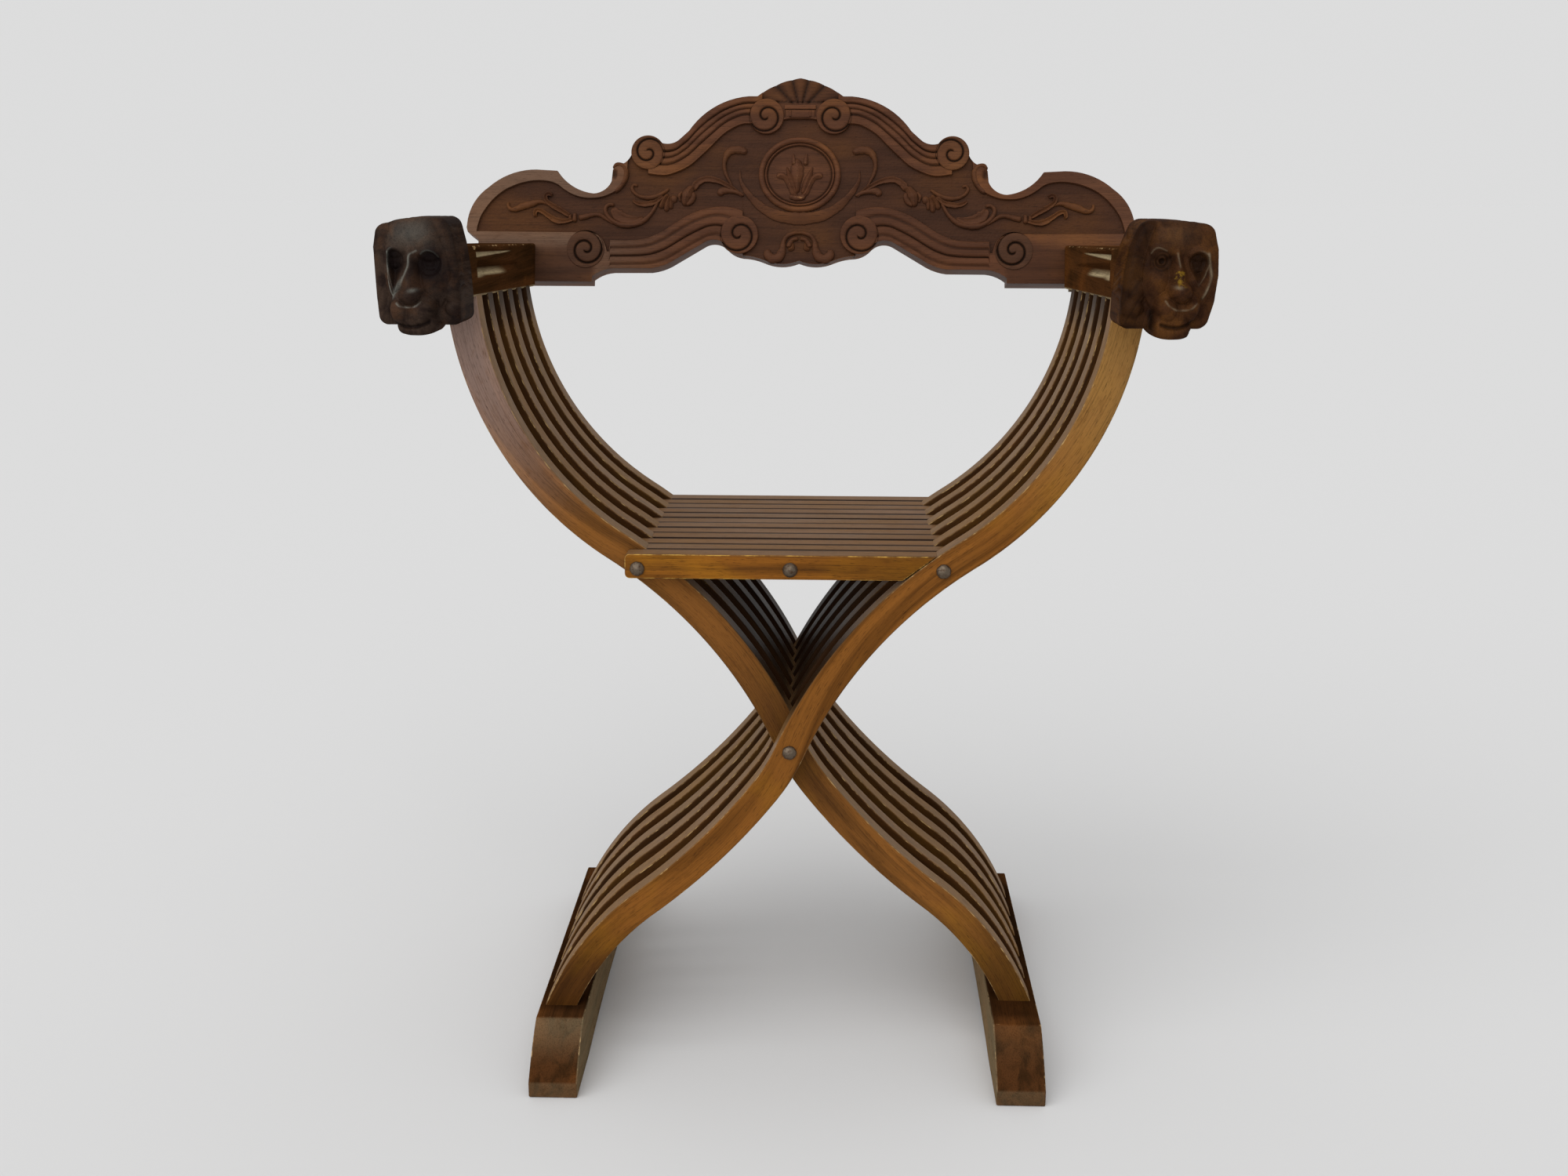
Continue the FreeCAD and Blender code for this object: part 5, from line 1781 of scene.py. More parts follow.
    def face_depth(self, u: ndarray, v: ndarray, low: ndarray, high: ndarray, low_edge: ndarray,
                   high_edge: ndarray) -> tuple[ndarray, ndarray, ndarray, ndarray]:
        """Depth of the face, how far it counts as ground, how worn it is and how much painted glare
        it has.

        Args:
            u: Places across, one row per column of the board.
            v: Places up.
            low: Lower outline per column.
            high: Upper outline per column.
            low_edge: Lower edge of the ground per column.
            high_edge: Upper edge of the ground per column.

        Returns:
            Depth, and the shares of ground, wear and fading, each shaped like u.
        """
        low, high, low_edge, high_edge = (edge[:, None] for edge in
                                          (low, high, low_edge, high_edge))
        inside = smooth(np.minimum(v - low_edge, high_edge - v), 0.0, self.wall)
        away = np.abs(u)
        groove = np.zeros_like(u)
        ridge = np.zeros_like(u)
        volute_u, volute_v = np.abs(self.traced([VOLUTES[1].pixel])[0])
        above = np.hypot(away - volute_u, v - volute_v) - VOLUTES[1].radius
        shell = (away < self.shell_half) & (above > 0) & (v > self.collar_low)
        band_end = -self.traced(LOWER_BAND_EDGE)[0, 0]
        bands = ((v - high_edge, high - high_edge, self.upper_reeds,
                  within(away, *self.upper_span) * ~shell),
                 (low_edge - v, low_edge - low, self.lower_reeds,
                  within(away, *self.lower_start, band_end, band_end + 0.6)))
        for inwards, width, reeds, mask in bands:
            width = np.maximum(width, 1e-6)
            share = inwards / width
            banded = ((share > 0) & (share < 1.001)) * mask
            stops = (0.0, *(stop for stop, _ in reeds), 1.0)
            for stop, weight in reeds:
                away_mm = (share - stop) * width
                cut = np.exp(-np.abs(away_mm / self.groove_width) ** 1.5)
                groove += banded * self.groove * weight * cut
            for start, end in zip(stops[:-1], stops[1:]):
                across = np.clip((share - start) / (end - start), 0, 1) * 2 - 1
                held = (share >= start) & (share < end) & (banded > 0)
                groove += held * mask * (1 - np.sqrt(1 - across ** 2 * 0.98))
                ridge += held * mask * smooth(-np.abs(across), -0.3, 0.0)
        from_collar = np.degrees(np.arctan2(u, v - self.collar_high + 6))
        flute = np.abs(np.sin(np.radians(from_collar) * self.shell_flutes + np.pi / 2))
        least, most = self.flute_depths
        foot = self.collar_high + 4
        groove += shell * (least + most * (1 - flute ** 0.6)) * smooth(v, self.collar_high, foot)
        groove += shell * (v <= foot) * least
        hollow = self.traced([HOOK_HOLLOW])[0]
        wide, tall, sunk = self.hook_pit
        groove += sunk * np.exp(-np.hypot((away + hollow[0]) / wide, (v - hollow[1]) / tall) ** 3)
        depth = inside * self.sunk + groove
        for volute in VOLUTES:
            place = self.traced([volute.pixel])[0]
            far = np.hypot(away - np.abs(place[0]), v - place[1])
            depth = np.maximum(depth, (self.sunk + 0.5) * (1 - smooth(far, volute.radius - 2.8,
                                                                      volute.radius - 1.6)))
        # Painted glare on the rim, most towards the left end; painted shadow of the armrests on the
        # blocks.
        rim = 1 - np.clip(inside * 1.6, 0, 1)
        faded = rim * (0.6 * smooth(-u, *self.sun_left) + 0.08 * smooth(u, *self.sun_right))
        block = rim * smooth(-v, *self.block_up) * smooth(away, *self.block_out)
        faded = faded * (1 - 0.7 * block)
        edge_near = np.minimum(v - low, high - v)
        climb = np.clip(edge_near / self.corner, 0, 1)
        depth += self.corner * (1 - np.sqrt(climb * 2 - climb ** 2)) * 0.9
        deep = np.clip(inside * 0.52 + 0.34 * block + groove / self.groove * 0.7, 0, 1)
        worn = np.clip(ridge * 0.25 + 0.3 * smooth(-edge_near, -1.6, -0.2), 0, 1)
        return depth, deep, worn, np.clip(faded * (1 - deep), 0, 1)

    def strand(self, strand: Strand, seed: int) -> Skin:
        """A strand as a tube along its line, sunk a little into the ground.

        A bead's section is half an ellipse, a dish has a hollow between two rims, and a blade has
        straight slopes up to a ridge. Both ends are rounded: near an end the width falls as the
        height of a circle does.

        Args:
            strand: Its line, widths and section.
            seed: Makes its edge slightly uneven.

        Returns:
            The closed skin.
        """
        line = curve_through(self.traced(strand.pixels), 9)
        step = np.linalg.norm(np.diff(line, axis=0), axis=1)
        distance = np.concatenate([[0], np.cumsum(step)])
        along = distance / distance[-1]
        half = np.interp(along, np.linspace(0, 1, len(strand.widths)), strand.widths) / 2
        half = half / 1.31
        room = np.minimum(distance, distance[-1] - distance)
        blunt = np.clip(room / np.maximum(half, 0.4), 0, 1)
        half = half * np.sqrt(np.clip(1 - (1 - blunt) ** 2, 0.02, 1))
        way = unit(np.gradient(line, axis=0))
        normal = np.stack([-way[:, 1], way[:, 0]], axis=1)
        turn = np.linspace(0, np.pi, 11)
        across = np.cos(turn)
        rise = {Profile.BEAD: np.sin(turn) ** 0.8,
                Profile.DISH: np.clip(1.35 * np.sin(turn) ** 0.5 - 0.75 * np.sin(turn) ** 6, 0, 1),
                Profile.SLOPE: np.clip(np.sin(turn) ** 0.3 * (0.72 - 0.28 * across), 0, 1),
                Profile.BLADE: (1 - np.abs(across)) ** 0.75}[strand.profile]
        height = strand.height * np.clip(half * 2 / 4.2, 0.45, 1) * np.sqrt(
            np.clip(blunt * 1.4, 0.06, 1))
        waves = np.random.default_rng(seed).uniform(0, 6.28, 2)
        uneven = 1 + 0.05 * np.sin(distance / 3.1 + waves[0]) + 0.04 * np.sin(distance + waves[1])
        reach = (half * uneven)[:, None] * across
        u = line[:, :1] + normal[:, :1] * reach
        v = line[:, 1:] + normal[:, 1:] * reach
        ground = self.sunk - strand.lift
        depth = ground - height[:, None] * rise
        u, v = (np.concatenate([place, place[:, [-1, 0]]], axis=1) for place in (u, v))
        foot = np.full((len(line), 2), ground + 0.8)
        depth = np.concatenate([depth, foot], axis=1)
        top = np.concatenate([np.broadcast_to(rise, reach.shape), 0 * foot], axis=1)
        raised = strand.lift > 0
        return self.carving(u, v, depth, smooth(top, 0.7, 1.0) * (0.8 if raised else 0.35),
                            deep=(0.0 if raised else 0.24) + (1 - smooth(top, 0.0, 0.55)) * 0.6)

    def volute(self, volute: Volute) -> Skin:
        """A coiled disc: at radius r and angle a its phase is r / pitch plus or minus a turn.

        The height follows an arch over each turn of the coil, with a narrow groove between turns,
        and the disc's edge falls to the ground.

        Args:
            volute: Its place, size and hand.

        Returns:
            The closed skin.
        """
        middle = self.traced([volute.pixel])[0]
        radii = np.concatenate([np.linspace(0.3, volute.radius - 0.5, 56),
                                volute.radius - np.array([0.25, 0.08, 0.0, 0.0, 0.3])])
        angle = full_turn(120)
        pitch = volute.radius / volute.turns
        turned = (angle - np.radians(volute.start)) / (2 * np.pi)
        phase = (radii[:, None] / pitch + volute.hand * turned - volute.turns) % 1.0
        away_mm = np.minimum(phase, 1 - phase) * pitch
        calm = smooth(radii[:, None], 1.2, 2.4)
        cut = np.exp(-np.abs(away_mm / 0.95) ** 1.6) * calm
        middle_of = np.abs(phase * 2 - 1)
        body = (1 - cut) * (1 - 0.35 * (1 - np.sqrt(1 - 0.98 * middle_of ** 2)) * calm)
        height = volute.height - self.groove * (1 - body)
        edge = np.array([0.3, 0.8, 1.6, volute.height + 0.9, volute.height + 0.9])
        height[-len(edge):] = (volute.height - edge)[:, None]
        u = middle[0] + radii[:, None] * np.cos(angle)
        v = middle[1] + radii[:, None] * np.sin(angle)
        # Painted shadow of the armrests on the block volutes; painted glare on the outer volutes.
        shade = np.clip(0.12 + 0.24 * smooth(np.abs(u), 150, 170) + cut * 1.1, 0, 1)
        return self.carving(u, v, self.sunk - height, smooth(body, 0.93, 1.0) * 0.28,
                            0.2 * smooth(-u, 120, 200) * (1 - shade), shade)

    def medallion(self) -> Skin:
        """The medallion: a domed oval field inside a moulding with a broad and a thin bead.

        The height is one profile, from the middle outwards, carried round the oval: the dome, a
        groove, the thin bead, a groove, the broad bead, and the wall down to the ground.

        Returns:
            The closed skin.
        """
        thin_at, thin_half, thin_rise = 7.2, 1.2, 2.7
        broad_half, broad_rise = 2.9, 4.0
        inwards = np.concatenate([np.linspace(34.5, 9.6, 24), np.linspace(9.4, 0.0, 48)])
        dome = 1.5 + 0.7 * smooth(inwards, 9, 34)
        thin, broad = (rise * np.sqrt(np.clip(1 - ((inwards - at) / half) ** 2, 0, 1)) ** power
                       for rise, at, half, power in ((thin_rise, thin_at, thin_half, 1),
                                                     (broad_rise, broad_half, broad_half, 0.8)))
        groove = bell(inwards - 8.8, 0.7) * 1.1
        rise = np.maximum(np.where(inwards > 6, dome - groove, 0.9), np.maximum(thin, broad))
        inwards = np.concatenate([inwards, [0.0]])
        rise = np.concatenate([rise, [-0.8]])
        angle = full_turn(180)
        u = (self.medallion_half[0] - inwards[:, None]) * np.cos(angle)
        v = (self.medallion_half[1] - inwards[:, None]) * np.sin(angle) + self.medallion_rise
        rise = rise[:, None]
        return self.carving(u, v, self.sunk - rise + 0 * u, smooth(rise, 3.4, 4.0) * 0.4,
                            deep=np.clip(1 - rise / 2.0, 0, 1) * 0.9)

    def collar(self) -> Skin:
        """The bar under the shell: a block, a fillet along its top, and one at each end."""
        half, low, high = self.collar_half, self.collar_low, self.collar_high
        bars = ((-half - 1, half + 1, low, high - 4.6, 3.4),
                (-half - 2, half + 2, high - 4.2, high, 4.4),
                (-half + 2.6, -half + 4.6, low + 0.6, high - 5.2, 4.2),
                (half - 4.6, half - 2.6, low + 0.6, high - 5.2, 4.2))
        skins = []
        ring = Section.make(3, 3)
        share = np.array([0, 0.08, 0.3, 1.0])
        inset = np.array([0, 0.05, 0.35, 1.0]) * 0.9
        for left, right, bottom, top, height in bars:
            depth = self.sunk + 0.8 - (height + 0.8) * np.array([0, 0.9, 0.97, 1.0])
            across, up = ring.placed((right - left) / 2 - inset, (top - bottom) / 2 - inset,
                                     np.full(4, 0.1))
            u, v = across + (left + right) / 2, up + (top + bottom) / 2
            skins.append(self.carving(u, v, depth[:, None] + 0 * u,
                                      (share == 0.3)[:, None] * 0.5,
                                      deep=(1 - smooth(share, 0.02, 0.3))[:, None] * 0.7))
        return Skin.joined(skins)

    def build(self, finish: bpy.types.Material) -> None:
        """Make the board and all its ornament.

        Args:
            finish: Its wood.
        """
        left = [self.strand(strand, number) for number, strand in enumerate(STRANDS)]
        right = [skin.mirrored() for skin, strand in zip(left, STRANDS) if strand.twin]
        coils = [self.volute(volute) for volute in VOLUTES]
        coils += [skin.mirrored() for skin in coils]
        for name, skin, crease in (("board", self.board(), 60),
                                   ("strands", Skin.joined(left + right), 60),
                                   ("volutes", Skin.joined(coils), 60),
                                   ("medallion", self.medallion(), 60),
                                   ("collar", self.collar(), 40)):
            add_piece(f"carved_{name}", skin, finish, "back", ["back_panel"],
                      crease=crease)


# Lion heads


def mound(spots: ndarray, middle: ndarray, reach: tuple[float, float], height: float,
          blunt: float = 2.0) -> ndarray:
    """A rounded rise: its height falls off as an ellipsoid's does, or more squarely.

    Args:
        spots: Places, with across and up in the last axis.
        middle: Its middle.
        reach: Its half width and half height.
        height: At the middle.
        blunt: 2 for an ellipsoid, more for a flatter top and steeper sides.

    Returns:
        The rise at each place, 0 outside it.
    """
    away = np.linalg.norm((spots - middle) / np.array(reach), axis=-1)
    return height * np.clip(1 - away ** blunt, 0, 1) ** (1 / blunt)


def near_line(spots: ndarray, line: ndarray) -> ndarray:
    """Distance of each place to the nearest point of a finely divided line."""
    points = curve_through(line, 10)
    return np.linalg.norm(spots[..., None, :] - points, axis=-1).min(axis=-1)


@dataclass(frozen=True)
class LionHead:
    """A carved lion head on an armrest's front end, with the picture's places of its features.

    Attributes:
        side: The armrest's side.
        nose: Middle of the nose.
        nose_reach: Half width and half height of the nose.
        bridge: Upper end of the ridge between the eyes.
        crest: The painted highlight along that ridge, from its upper end.
        round_eye: The rounder eye, towards the sitter.
        long_eye: The longer eye, on the outer side.
        long_drop: How far the longer eye's socket runs down.
        muzzle: Middle of the upper lips.
        mouth: The line between the lips.
        chin: Middle of the chin.
        cheek: The rim between the face and the mane, on the outer side.
        curl: The lock of mane beside the chin.
        slit: The deep cut between that lock and the mouth.
        brow: Middle of the forehead.
        outer_trim: How far the outer side is worn in, from top to bottom.
        inner_trim: The same of the inner side.
        lip: The rim of the upper lip under the nose.
        lid: The lit lid over the rounder eye.
        socket: Depth of the rounder eye's socket.
        slot: Depth of the gap between muzzle and mane.
        fall: How far the top falls to the outer side.
        gilt: How strong the golden patch on the ridge of the nose is.
        rings: Height of the rings cut round the rounder eye.
    """

    side: Side
    nose: tuple[float, float]
    nose_reach: tuple[float, float]
    bridge: tuple[float, float]
    crest: tuple[tuple[float, float], ...]
    round_eye: tuple[float, float]
    long_eye: tuple[float, float]
    long_drop: float
    muzzle: tuple[float, float]
    mouth: tuple[tuple[float, float], ...]
    chin: tuple[float, float]
    cheek: tuple[tuple[float, float], ...]
    curl: tuple[float, float]
    slit: tuple[tuple[float, float], ...]
    brow: tuple[float, float]
    outer_trim: tuple[float, ...]
    inner_trim: tuple[float, ...]
    lip: tuple[tuple[float, float], ...]
    lid: tuple[tuple[float, float], ...]
    socket: float
    slot: float
    fall: float
    gilt: float
    rings: float


LEFT_LION = LionHead(
    Side.LEFT, nose=(519, 379), nose_reach=(9.6, 8.2), bridge=(521, 326),
    crest=((530, 320), (521.5, 325.5), (521.5, 338), (517.5, 348), (510.5, 359), (504, 370),
           (501, 377)), round_eye=(549, 334),
    long_eye=(503, 329), long_drop=25.0, muzzle=(521, 392),
    mouth=((503, 407), (517, 409), (532, 408.5), (546, 406)), chin=(530.5, 417),
    cheek=((491, 320), (488.5, 336), (490.5, 352), (496, 368), (500, 376)), curl=(583, 394),
    slit=((557, 386), (557.5, 394), (556, 400)), brow=(528, 302),
    outer_trim=(10.5, 7.5, 8.0, 8.5, 10.0), inner_trim=(8.0, 3.5, 1.0, 0.0, 0.0),
    lip=((505, 387), (510, 391), (520, 392.5), (530, 390.5), (535, 386)),
    lid=((536.5, 324), (541, 320.5), (548, 319.5), (556, 322), (561.5, 328)), socket=6.5,
    slot=2.2, fall=4.4, gilt=0.0, rings=0.0)
RIGHT_LION = LionHead(
    Side.RIGHT, nose=(1509.5, 375.5), nose_reach=(10.4, 9.6), bridge=(1503, 327),
    crest=((1502.5, 323), (1503.5, 331), (1504.5, 340)),
    round_eye=(1481, 332), long_eye=(1529, 334), long_drop=17.0, muzzle=(1506, 391),
    mouth=((1482, 410.5), (1495, 412), (1510, 411.5), (1523, 408.5)), chin=(1495.5, 420),
    cheek=((1543, 323), (1545, 340), (1545.5, 356), (1540, 372), (1536, 380)),
    curl=(1443, 394), slit=((1468.5, 398), (1468.3, 405), (1467.5, 414)), brow=(1502, 304),
    outer_trim=(6.0, 1.5, 0.5, 2.5, 8.0), inner_trim=(13.0, 5.0, 2.0, 0.5, 0.0),
    lip=((1488, 385), (1492, 391), (1503, 396.5), (1518, 395), (1529, 388)),
    lid=((1465.5, 323), (1470, 318), (1478, 316), (1488, 320)), socket=2.6, slot=6.0,
    fall=2.4, gilt=0.95, rings=0.55)


@dataclass
class LionHeads:
    """The two lion heads: rounded blocks whose fronts are carved into faces.

    Attributes:
        view: Where the picture is seen from, which gives the features their places.
        half: Half sizes of the block.
        corner: Its rounding.
        reach: The nose's reach in front of the block.
        planes: How far in front of the block each other feature is taken to be.
        chin_drop: The chin's reach below the block.
        middle_x: The block's middle, away from the chair's middle.
        nose_reach: How far in front of the block the nose's middle is taken to be.
        around: Points round a ring.
    """

    view: Viewpoint
    half: tuple[float, float, float] = (36.5, 28.0, 40.0)
    corner: float = 6.5
    reach: float = 25.6
    chin_drop: float = 6.8
    middle_x: float = 285.95
    nose_reach: float = 23.0
    planes: dict[str, float] = field(default_factory=lambda: {
        "bridge": 8, "round_eye": 2, "long_eye": 2, "muzzle": 16, "chin": 11, "brow": 5,
        "curl": 2, "lid": 6, "mouth": 15, "lip": 20, "slit": 4, "cheek": 4, "crest": 8})
    around: int = 420

    def relief(self, head: LionHead, spots: ndarray, front: float,
               centre: ndarray) -> dict[str, ndarray]:
        """The carved face in front of the block, as a height over its front.

        The higher of several mounds counts at each place: face, forehead, brows, cheeks, the ridge
        of the nose, muzzle, lips, nose and chin. Sockets, nostrils and the mouth are cut from it.

        Args:
            head: The head's features.
            spots: Places on the front, across and up from the block's middle.
            front: y of the block's front.
            centre: x and z of its middle.

        Returns:
            The height, and the values that the finish reads.
        """

        def seen(feature: str) -> ndarray:
            pixels = np.array(getattr(head, feature), float).reshape(-1, 2)
            points = self.view.onto_plane(pixels, np.array([0, front - planes[feature], 0]),
                                          np.array([0, 1.0, 0]))
            return points[:, [0, 2]] - centre

        planes = {"nose": self.nose_reach, **self.planes}
        nose, bridge, round_eye, long_eye, muzzle, chin, brow, curl = (
            seen(feature)[0] for feature in ("nose", "bridge", "round_eye", "long_eye", "muzzle",
                                             "chin", "brow", "curl"))
        lid, mouth, lip, slit, cheek, crest = (
            near_line(spots, seen(feature)) for feature in ("lid", "mouth", "lip", "slit", "cheek",
                                                            "crest"))
        across, up = spots[..., 0], spots[..., 1]
        out = head.side.value
        middle = (round_eye + long_eye) / 2

        # Middle, reach, height and bluntness of each mound.
        mounds = [(middle + (0, -6), (29, 40), 5.0, 3), (brow, (23, 17), 8.5, 2.0),
                  (muzzle, (18.2, 13.5), 17.0, 2.8), (chin + (0, 3), (16.0, 12.6), 15.5, 3)]
        for eye, turn in ((round_eye, -1), (long_eye, 1)):
            mounds += [(eye + (0, 7.0), (12.5, 8), 8.0, 2.4),
                       (eye + (0, -16.5), (11.5, 15), 8.5, 2.0),
                       (muzzle + (turn * 8.4, -2.0), (9.6, 9.6), 20.0, 2.6)]
        height = np.max([mound(spots, *values) for values in mounds], axis=0)
        level = [nose[1] - 4, nose[1] + 5, bridge[1], bridge[1] + 9, bridge[1] + 17]
        ridge = np.interp(up, level, [21, 19.5, 9.0, 7.8, 4])
        width = np.interp(up, level, [10, 8.6, 4.6, 6, 10])
        line = np.interp(up, [nose[1], bridge[1]], [nose[0], bridge[0]])
        ridge = ridge * bell(across - line, width) * smooth(up, nose[1] - 8, nose[1])
        height = np.maximum(height, ridge * (1 - smooth(up, bridge[1] + 6, bridge[1] + 18)))

        # The sockets, their lids and the eyeballs.
        away = spots - round_eye
        round_tall = np.where(away[..., 1] > 0, 10.4, 12.5)
        round_far = np.hypot(away[..., 0] / 11.4, away[..., 1] / round_tall)
        drop = np.clip(-(up - long_eye[1]) / head.long_drop, 0, 1)
        long_wide = 8.4 * (1 - 0.72 * drop ** 1.4)
        tall = np.where(up > long_eye[1], 8.6, head.long_drop)
        long_far = np.hypot((across - long_eye[0]) / long_wide, (up - long_eye[1]) / tall)
        for far, sunk in ((round_far, head.socket), (long_far, 6.5)):
            height = height - sunk * (1 - smooth(far, 0.35, 1.0))
        height = height + mound(spots, round_eye + (0, -1.0), (8.2, 7.6), head.socket * 0.6)
        height = height + mound(spots, long_eye + (0, -1.5), (6.0, 6.4), 4.4)
        side_on = smooth(out * (across - long_eye[0]), -3, 5)
        lids = (0.3 + 0.7 * side_on) * bell(long_far - 1.0, 0.1)
        height = height + 1.2 * lids + 0.9 * bell(lid, 0.9)
        pupil_far = np.hypot(away[..., 0], away[..., 1] + 0.5)
        rings = head.rings * (np.cos(pupil_far * 2.2) - 0.3) * (1 - smooth(pupil_far, 5, 8))
        pupil = bell(pupil_far, 1.5) * (0.4 + head.rings)
        height = height + rings - pupil * 1.4

        # The nose with its nostrils, the groove below it and the mouth.
        ball = mound(spots, nose, head.nose_reach, 1.0, 2.3)
        height = np.maximum(height, ball * self.reach)
        for turn in (-1, 1):
            hole = nose + (turn * head.nose_reach[0] * 0.55, -head.nose_reach[1] * 0.42)
            height = height - 1.6 * bell(np.linalg.norm((spots - hole) / (2.6, 1.5), axis=-1), 1)
        under = head.nose_reach[1] - nose[1]
        height = height - 1.2 * bell(across - muzzle[0], 1.1) * smooth(-up, under, under + 3) * (
            smooth(up, chin[1] + 6, chin[1] + 9))
        height = height - 2.8 * bell(mouth, 0.95)
        height = height + 0.9 * bell(lip, 1.2)
        height = height - head.slot * bell(slit, 1.6)

        # The rim of the outer cheek, the lock beside the chin, and the strands of the mane.
        height = height + 2.0 * bell(cheek, 1.5)
        height = np.maximum(height, mound(spots, curl, (9.5, 6.5), 4.2))
        height = np.maximum(height, mound(spots, curl + (out * 3.0, 12.0), (6.5, 9.5), 3.0))
        from_face = np.linalg.norm((spots - middle + (0, 6)) / (29, 40), axis=-1)
        angle = np.arctan2(up + 2, across)
        wave = np.sin(13 * angle + 2.2 * np.sin(3 * angle) + 0.13 * (across + up))
        strands = (np.abs(wave) ** 0.6 - 0.6) * smooth(from_face, 0.86, 1.08)
        height = height + 0.5 * strands

        # Old wax and painted shade in the hollows, beside the rounder eye and under the nose, and a
        # darker inner side; then painted highlights on brow, cheek rim, lip, lids, ridge and nose.
        shaded = 1.05 + 0.06 * head.socket
        hollow = (head.socket / 6.5 * (1 - smooth(round_far, 0.4, shaded))
                  + (1 - smooth(long_far, 0.4, shaded)))
        circles = head.rings * (0.5 - 0.5 * np.cos(pupil_far * 2.2)) * (
            1 - smooth(pupil_far, 7, 9))
        beside = 0.65 * round_eye + 0.35 * nose
        eye_shade = bell(across - beside[0], 11) * bell(up - beside[1], 13)
        dark = (0.75 * hollow + 0.085 * head.socket * eye_shade + 0.8 * bell(mouth, 0.9) + pupil
                + 0.5 * circles + 0.8 * head.slot / 6 * bell(slit, 2.0)
                + (0.45 - 0.45 * head.gilt) * np.clip(ball, 0, 1) * smooth(nose[1] + 5 - up, 0, 4)
                + 0.16 * smooth(-strands, -0.1, 0.5)
                + (0.34 + 0.25 * head.gilt) * smooth(-out * across, 10, 28))
        rim = bell(lip, 0.7) * (0.65 + 0.35 * np.sin(0.9 * across + 1.4))
        gloss = np.linalg.norm((spots - nose - (-out * 3.2, 4.6)) / (2.6, 1.3), axis=-1)
        crest = bell(crest, 0.7 + (1 - head.gilt) * smooth(bridge[1] - up, 6, 28))
        brow_highlight = bell(across - brow[0], 19) * bell(up - brow[1] - 3, 10)
        pale = (0.16 * (1 - 0.75 * head.gilt) * brow_highlight
                + 0.6 * bell(cheek, 1.1) * (0.75 + 0.25 * np.sin(0.45 * up))
                + 0.42 * rim + 0.25 * lids * side_on + 0.5 * bell(gloss, 1)
                + (0.5 - 0.2 * head.gilt) * (crest + bell(lid, 0.6)))
        gilt = head.gilt * bell(across - line, 6.5) * within(up, nose[1] - 1, nose[1] + 6,
                                                             bridge[1] - 12, bridge[1] - 6)
        return {"height": np.minimum(height, self.reach), "deep": np.clip(dark, 0, 0.9),
                "edge": np.clip(pale, 0, 0.85), "chin": chin[0] + 0 * up, "gilt": gilt}

    def skin(self, head: LionHead) -> Skin:
        """A head as rings: from the nose over the face, along the sides and over the back.

        A point of the block goes to its nearest place in a smaller block, and from there by the
        corner radius towards where it was, which rounds every edge.

        Args:
            head: Its features.

        Returns:
            The closed skin.
        """
        _, high = node_box(f"lion_head_{head.side.word}")
        half = np.array(self.half)
        centre = np.array([head.side.value * self.middle_x, *(high - half)[1:]])
        front = centre[1] - half[1]
        turn = full_turn(self.around)
        square = np.stack([np.cos(turn), np.sin(turn)], axis=1)
        square = square / np.abs(square).max(axis=1, keepdims=True) * half[[0, 2]]
        start = self.view.onto_plane(np.array([head.nose], float),
                                     np.array([0, front - self.nose_reach, 0]),
                                     np.array([0, 1.0, 0]))[0][[0, 2]] - centre[[0, 2]]
        share = np.linspace(0.012, 1, 118)[:, None, None]
        face = at_depth(start + share * (square - start), -half[1])
        depth = np.linspace(-half[1], half[1], 44)[1:-1, None]
        side = at_depth(np.broadcast_to(square, (len(depth), *square.shape)), depth)
        back = at_depth(np.linspace(1, 0.02, 12)[:, None, None] * square, half[1])
        points = np.concatenate([face, side, back])
        core = np.clip(points, -(half - self.corner), half - self.corner)
        normal = unit(points - core)
        points = core + self.corner * normal

        carved = self.relief(head, points[..., [0, 2]], front, centre[[0, 2]])
        height = carved["height"]
        for _ in range(2):
            height = (2 * height + np.roll(height, 1, axis=1) + np.roll(height, -1, axis=1)) / 4
            height[1:-1] = (2 * height[1:-1] + height[:-2] + height[2:]) / 4
        behind = points[..., 1] + half[1]
        frontal = 1 - smooth(behind, self.corner * 0.6, self.corner * 1.9)

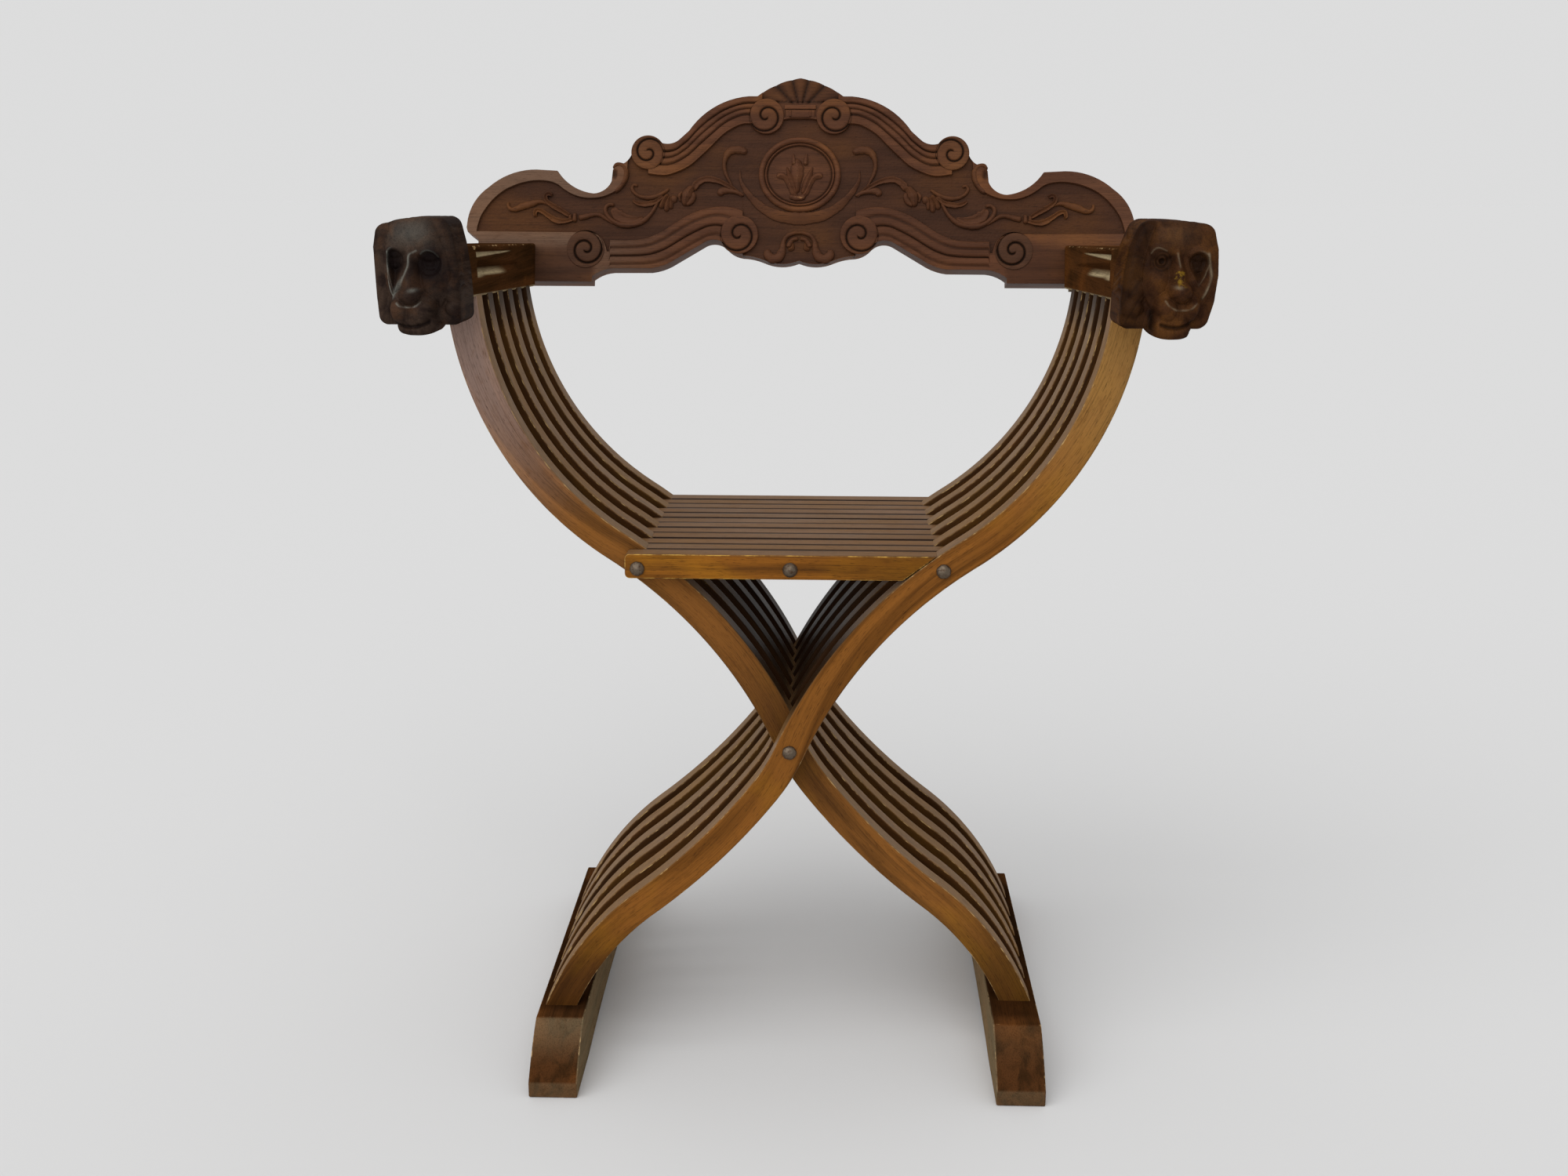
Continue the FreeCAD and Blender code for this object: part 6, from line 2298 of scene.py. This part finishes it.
        # Locks of mane run back along the sides and over the top.
        flow = points[..., 2] * 0.42 + 2.0 * np.sin(points[..., 1] / 11 + points[..., 2] / 17)
        flow = np.where(np.abs(normal[..., 2]) > 0.7, points[..., 0] * 0.42
                        + 1.6 * np.sin(points[..., 1] / 9 + points[..., 0] / 13), flow)
        lock = np.abs(np.sin(flow)) ** 0.6 - 0.6
        patchy = 0.5 + 0.5 * np.sin(points[..., 2] / 9 + points[..., 0] / 7) * np.cos(
            points[..., 1] / 8 + points[..., 2] / 15)
        beside = patchy * (1 - frontal) * smooth(-points[..., 1], -half[1] + 3, -half[1] + 12)
        draws = np.random.default_rng(700 + head.side.value)
        points = points + normal * (lock * beside)[..., None] * 0.6
        points[..., 1] -= height * frontal
        outward = points[..., 0] * head.side.value
        place = (half[2] - points[..., 2]) / (2 * half[2])
        stops = np.linspace(0, 1, 5)
        trim = np.interp(place, stops, head.outer_trim) * smooth(outward, 8, half[0] - 4)
        inset = np.interp(place, stops, head.inner_trim) * smooth(-outward, 8, half[0] - 4)
        points[..., 0] += head.side.value * (inset - trim)
        points[..., 2] -= head.fall * smooth(outward, -6, half[0]) * smooth(points[..., 2], 8, 36)
        chin_away = np.clip(np.abs(points[..., 0] - carved["chin"]) / 16.5, 0, 1)
        drop = (smooth(-points[..., 2], 26, 40) * (1 - smooth(behind, 12, 30))
                * np.sqrt(1 - chin_away ** 2.4))
        points[..., 2] -= self.chin_drop * drop
        deep = carved["deep"] * frontal + 0.4 * smooth(-lock, 0.1, 0.5) * beside
        corner = 1 - np.abs(normal).max(axis=-1)
        worn = smooth(corner, 0.2, 0.3) * 0.45 * (1 - frontal) + carved["gilt"] * frontal
        grain = points[..., (1, 2, 0)] + draws.uniform(0, 800, 3)
        values = {"grain": grain, "deep": np.clip(deep, 0, 1),
                  "edge": carved["edge"] * frontal, "worn": worn}
        return closed_tube(points + centre, values)

    def build(self, finishes: dict[Side, bpy.types.Material]) -> None:
        """Make both heads.

        Args:
            finishes: The wood of each side's head.
        """
        for head in (LEFT_LION, RIGHT_LION):
            word = head.side.word
            add_piece(f"{word}_lion_head_wood", self.skin(head), finishes[head.side],
                      f"{word}_frame", [f"lion_head_{word}"], crease=70)


def main() -> None:
    """Build the chair, then the camera and the studio around it."""
    logging.basicConfig(level=logging.INFO, format="%(name)s: %(message)s")
    leg_wood = LEG_WALNUT.build()
    seat_wood = SEAT_WALNUT.build()
    arm_wood = ARM_WALNUT.build()
    iron = DARK_IRON.build()
    legs = CrossedLegs()
    legs.build(leg_wood)
    SlatSeat(legs).build(seat_wood)
    FootRunners(legs).build(arm_wood)
    Armrests(legs).build(arm_wood)
    Ironwork().build(iron)
    view = Viewpoint()
    CarvedBack(view).build(BACK_WALNUT.build())
    LionHeads(view).build({Side.LEFT: LEFT_HEAD_WALNUT.build(),
                           Side.RIGHT: RIGHT_HEAD_WALNUT.build()})
    for side in Side:
        give_finish(frame["nodes"][f"head_dowel_{side.word}"], arm_wood)
    view.add_camera()
    Studio().build()
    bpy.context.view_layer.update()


if __name__ == "__main__":
    main()
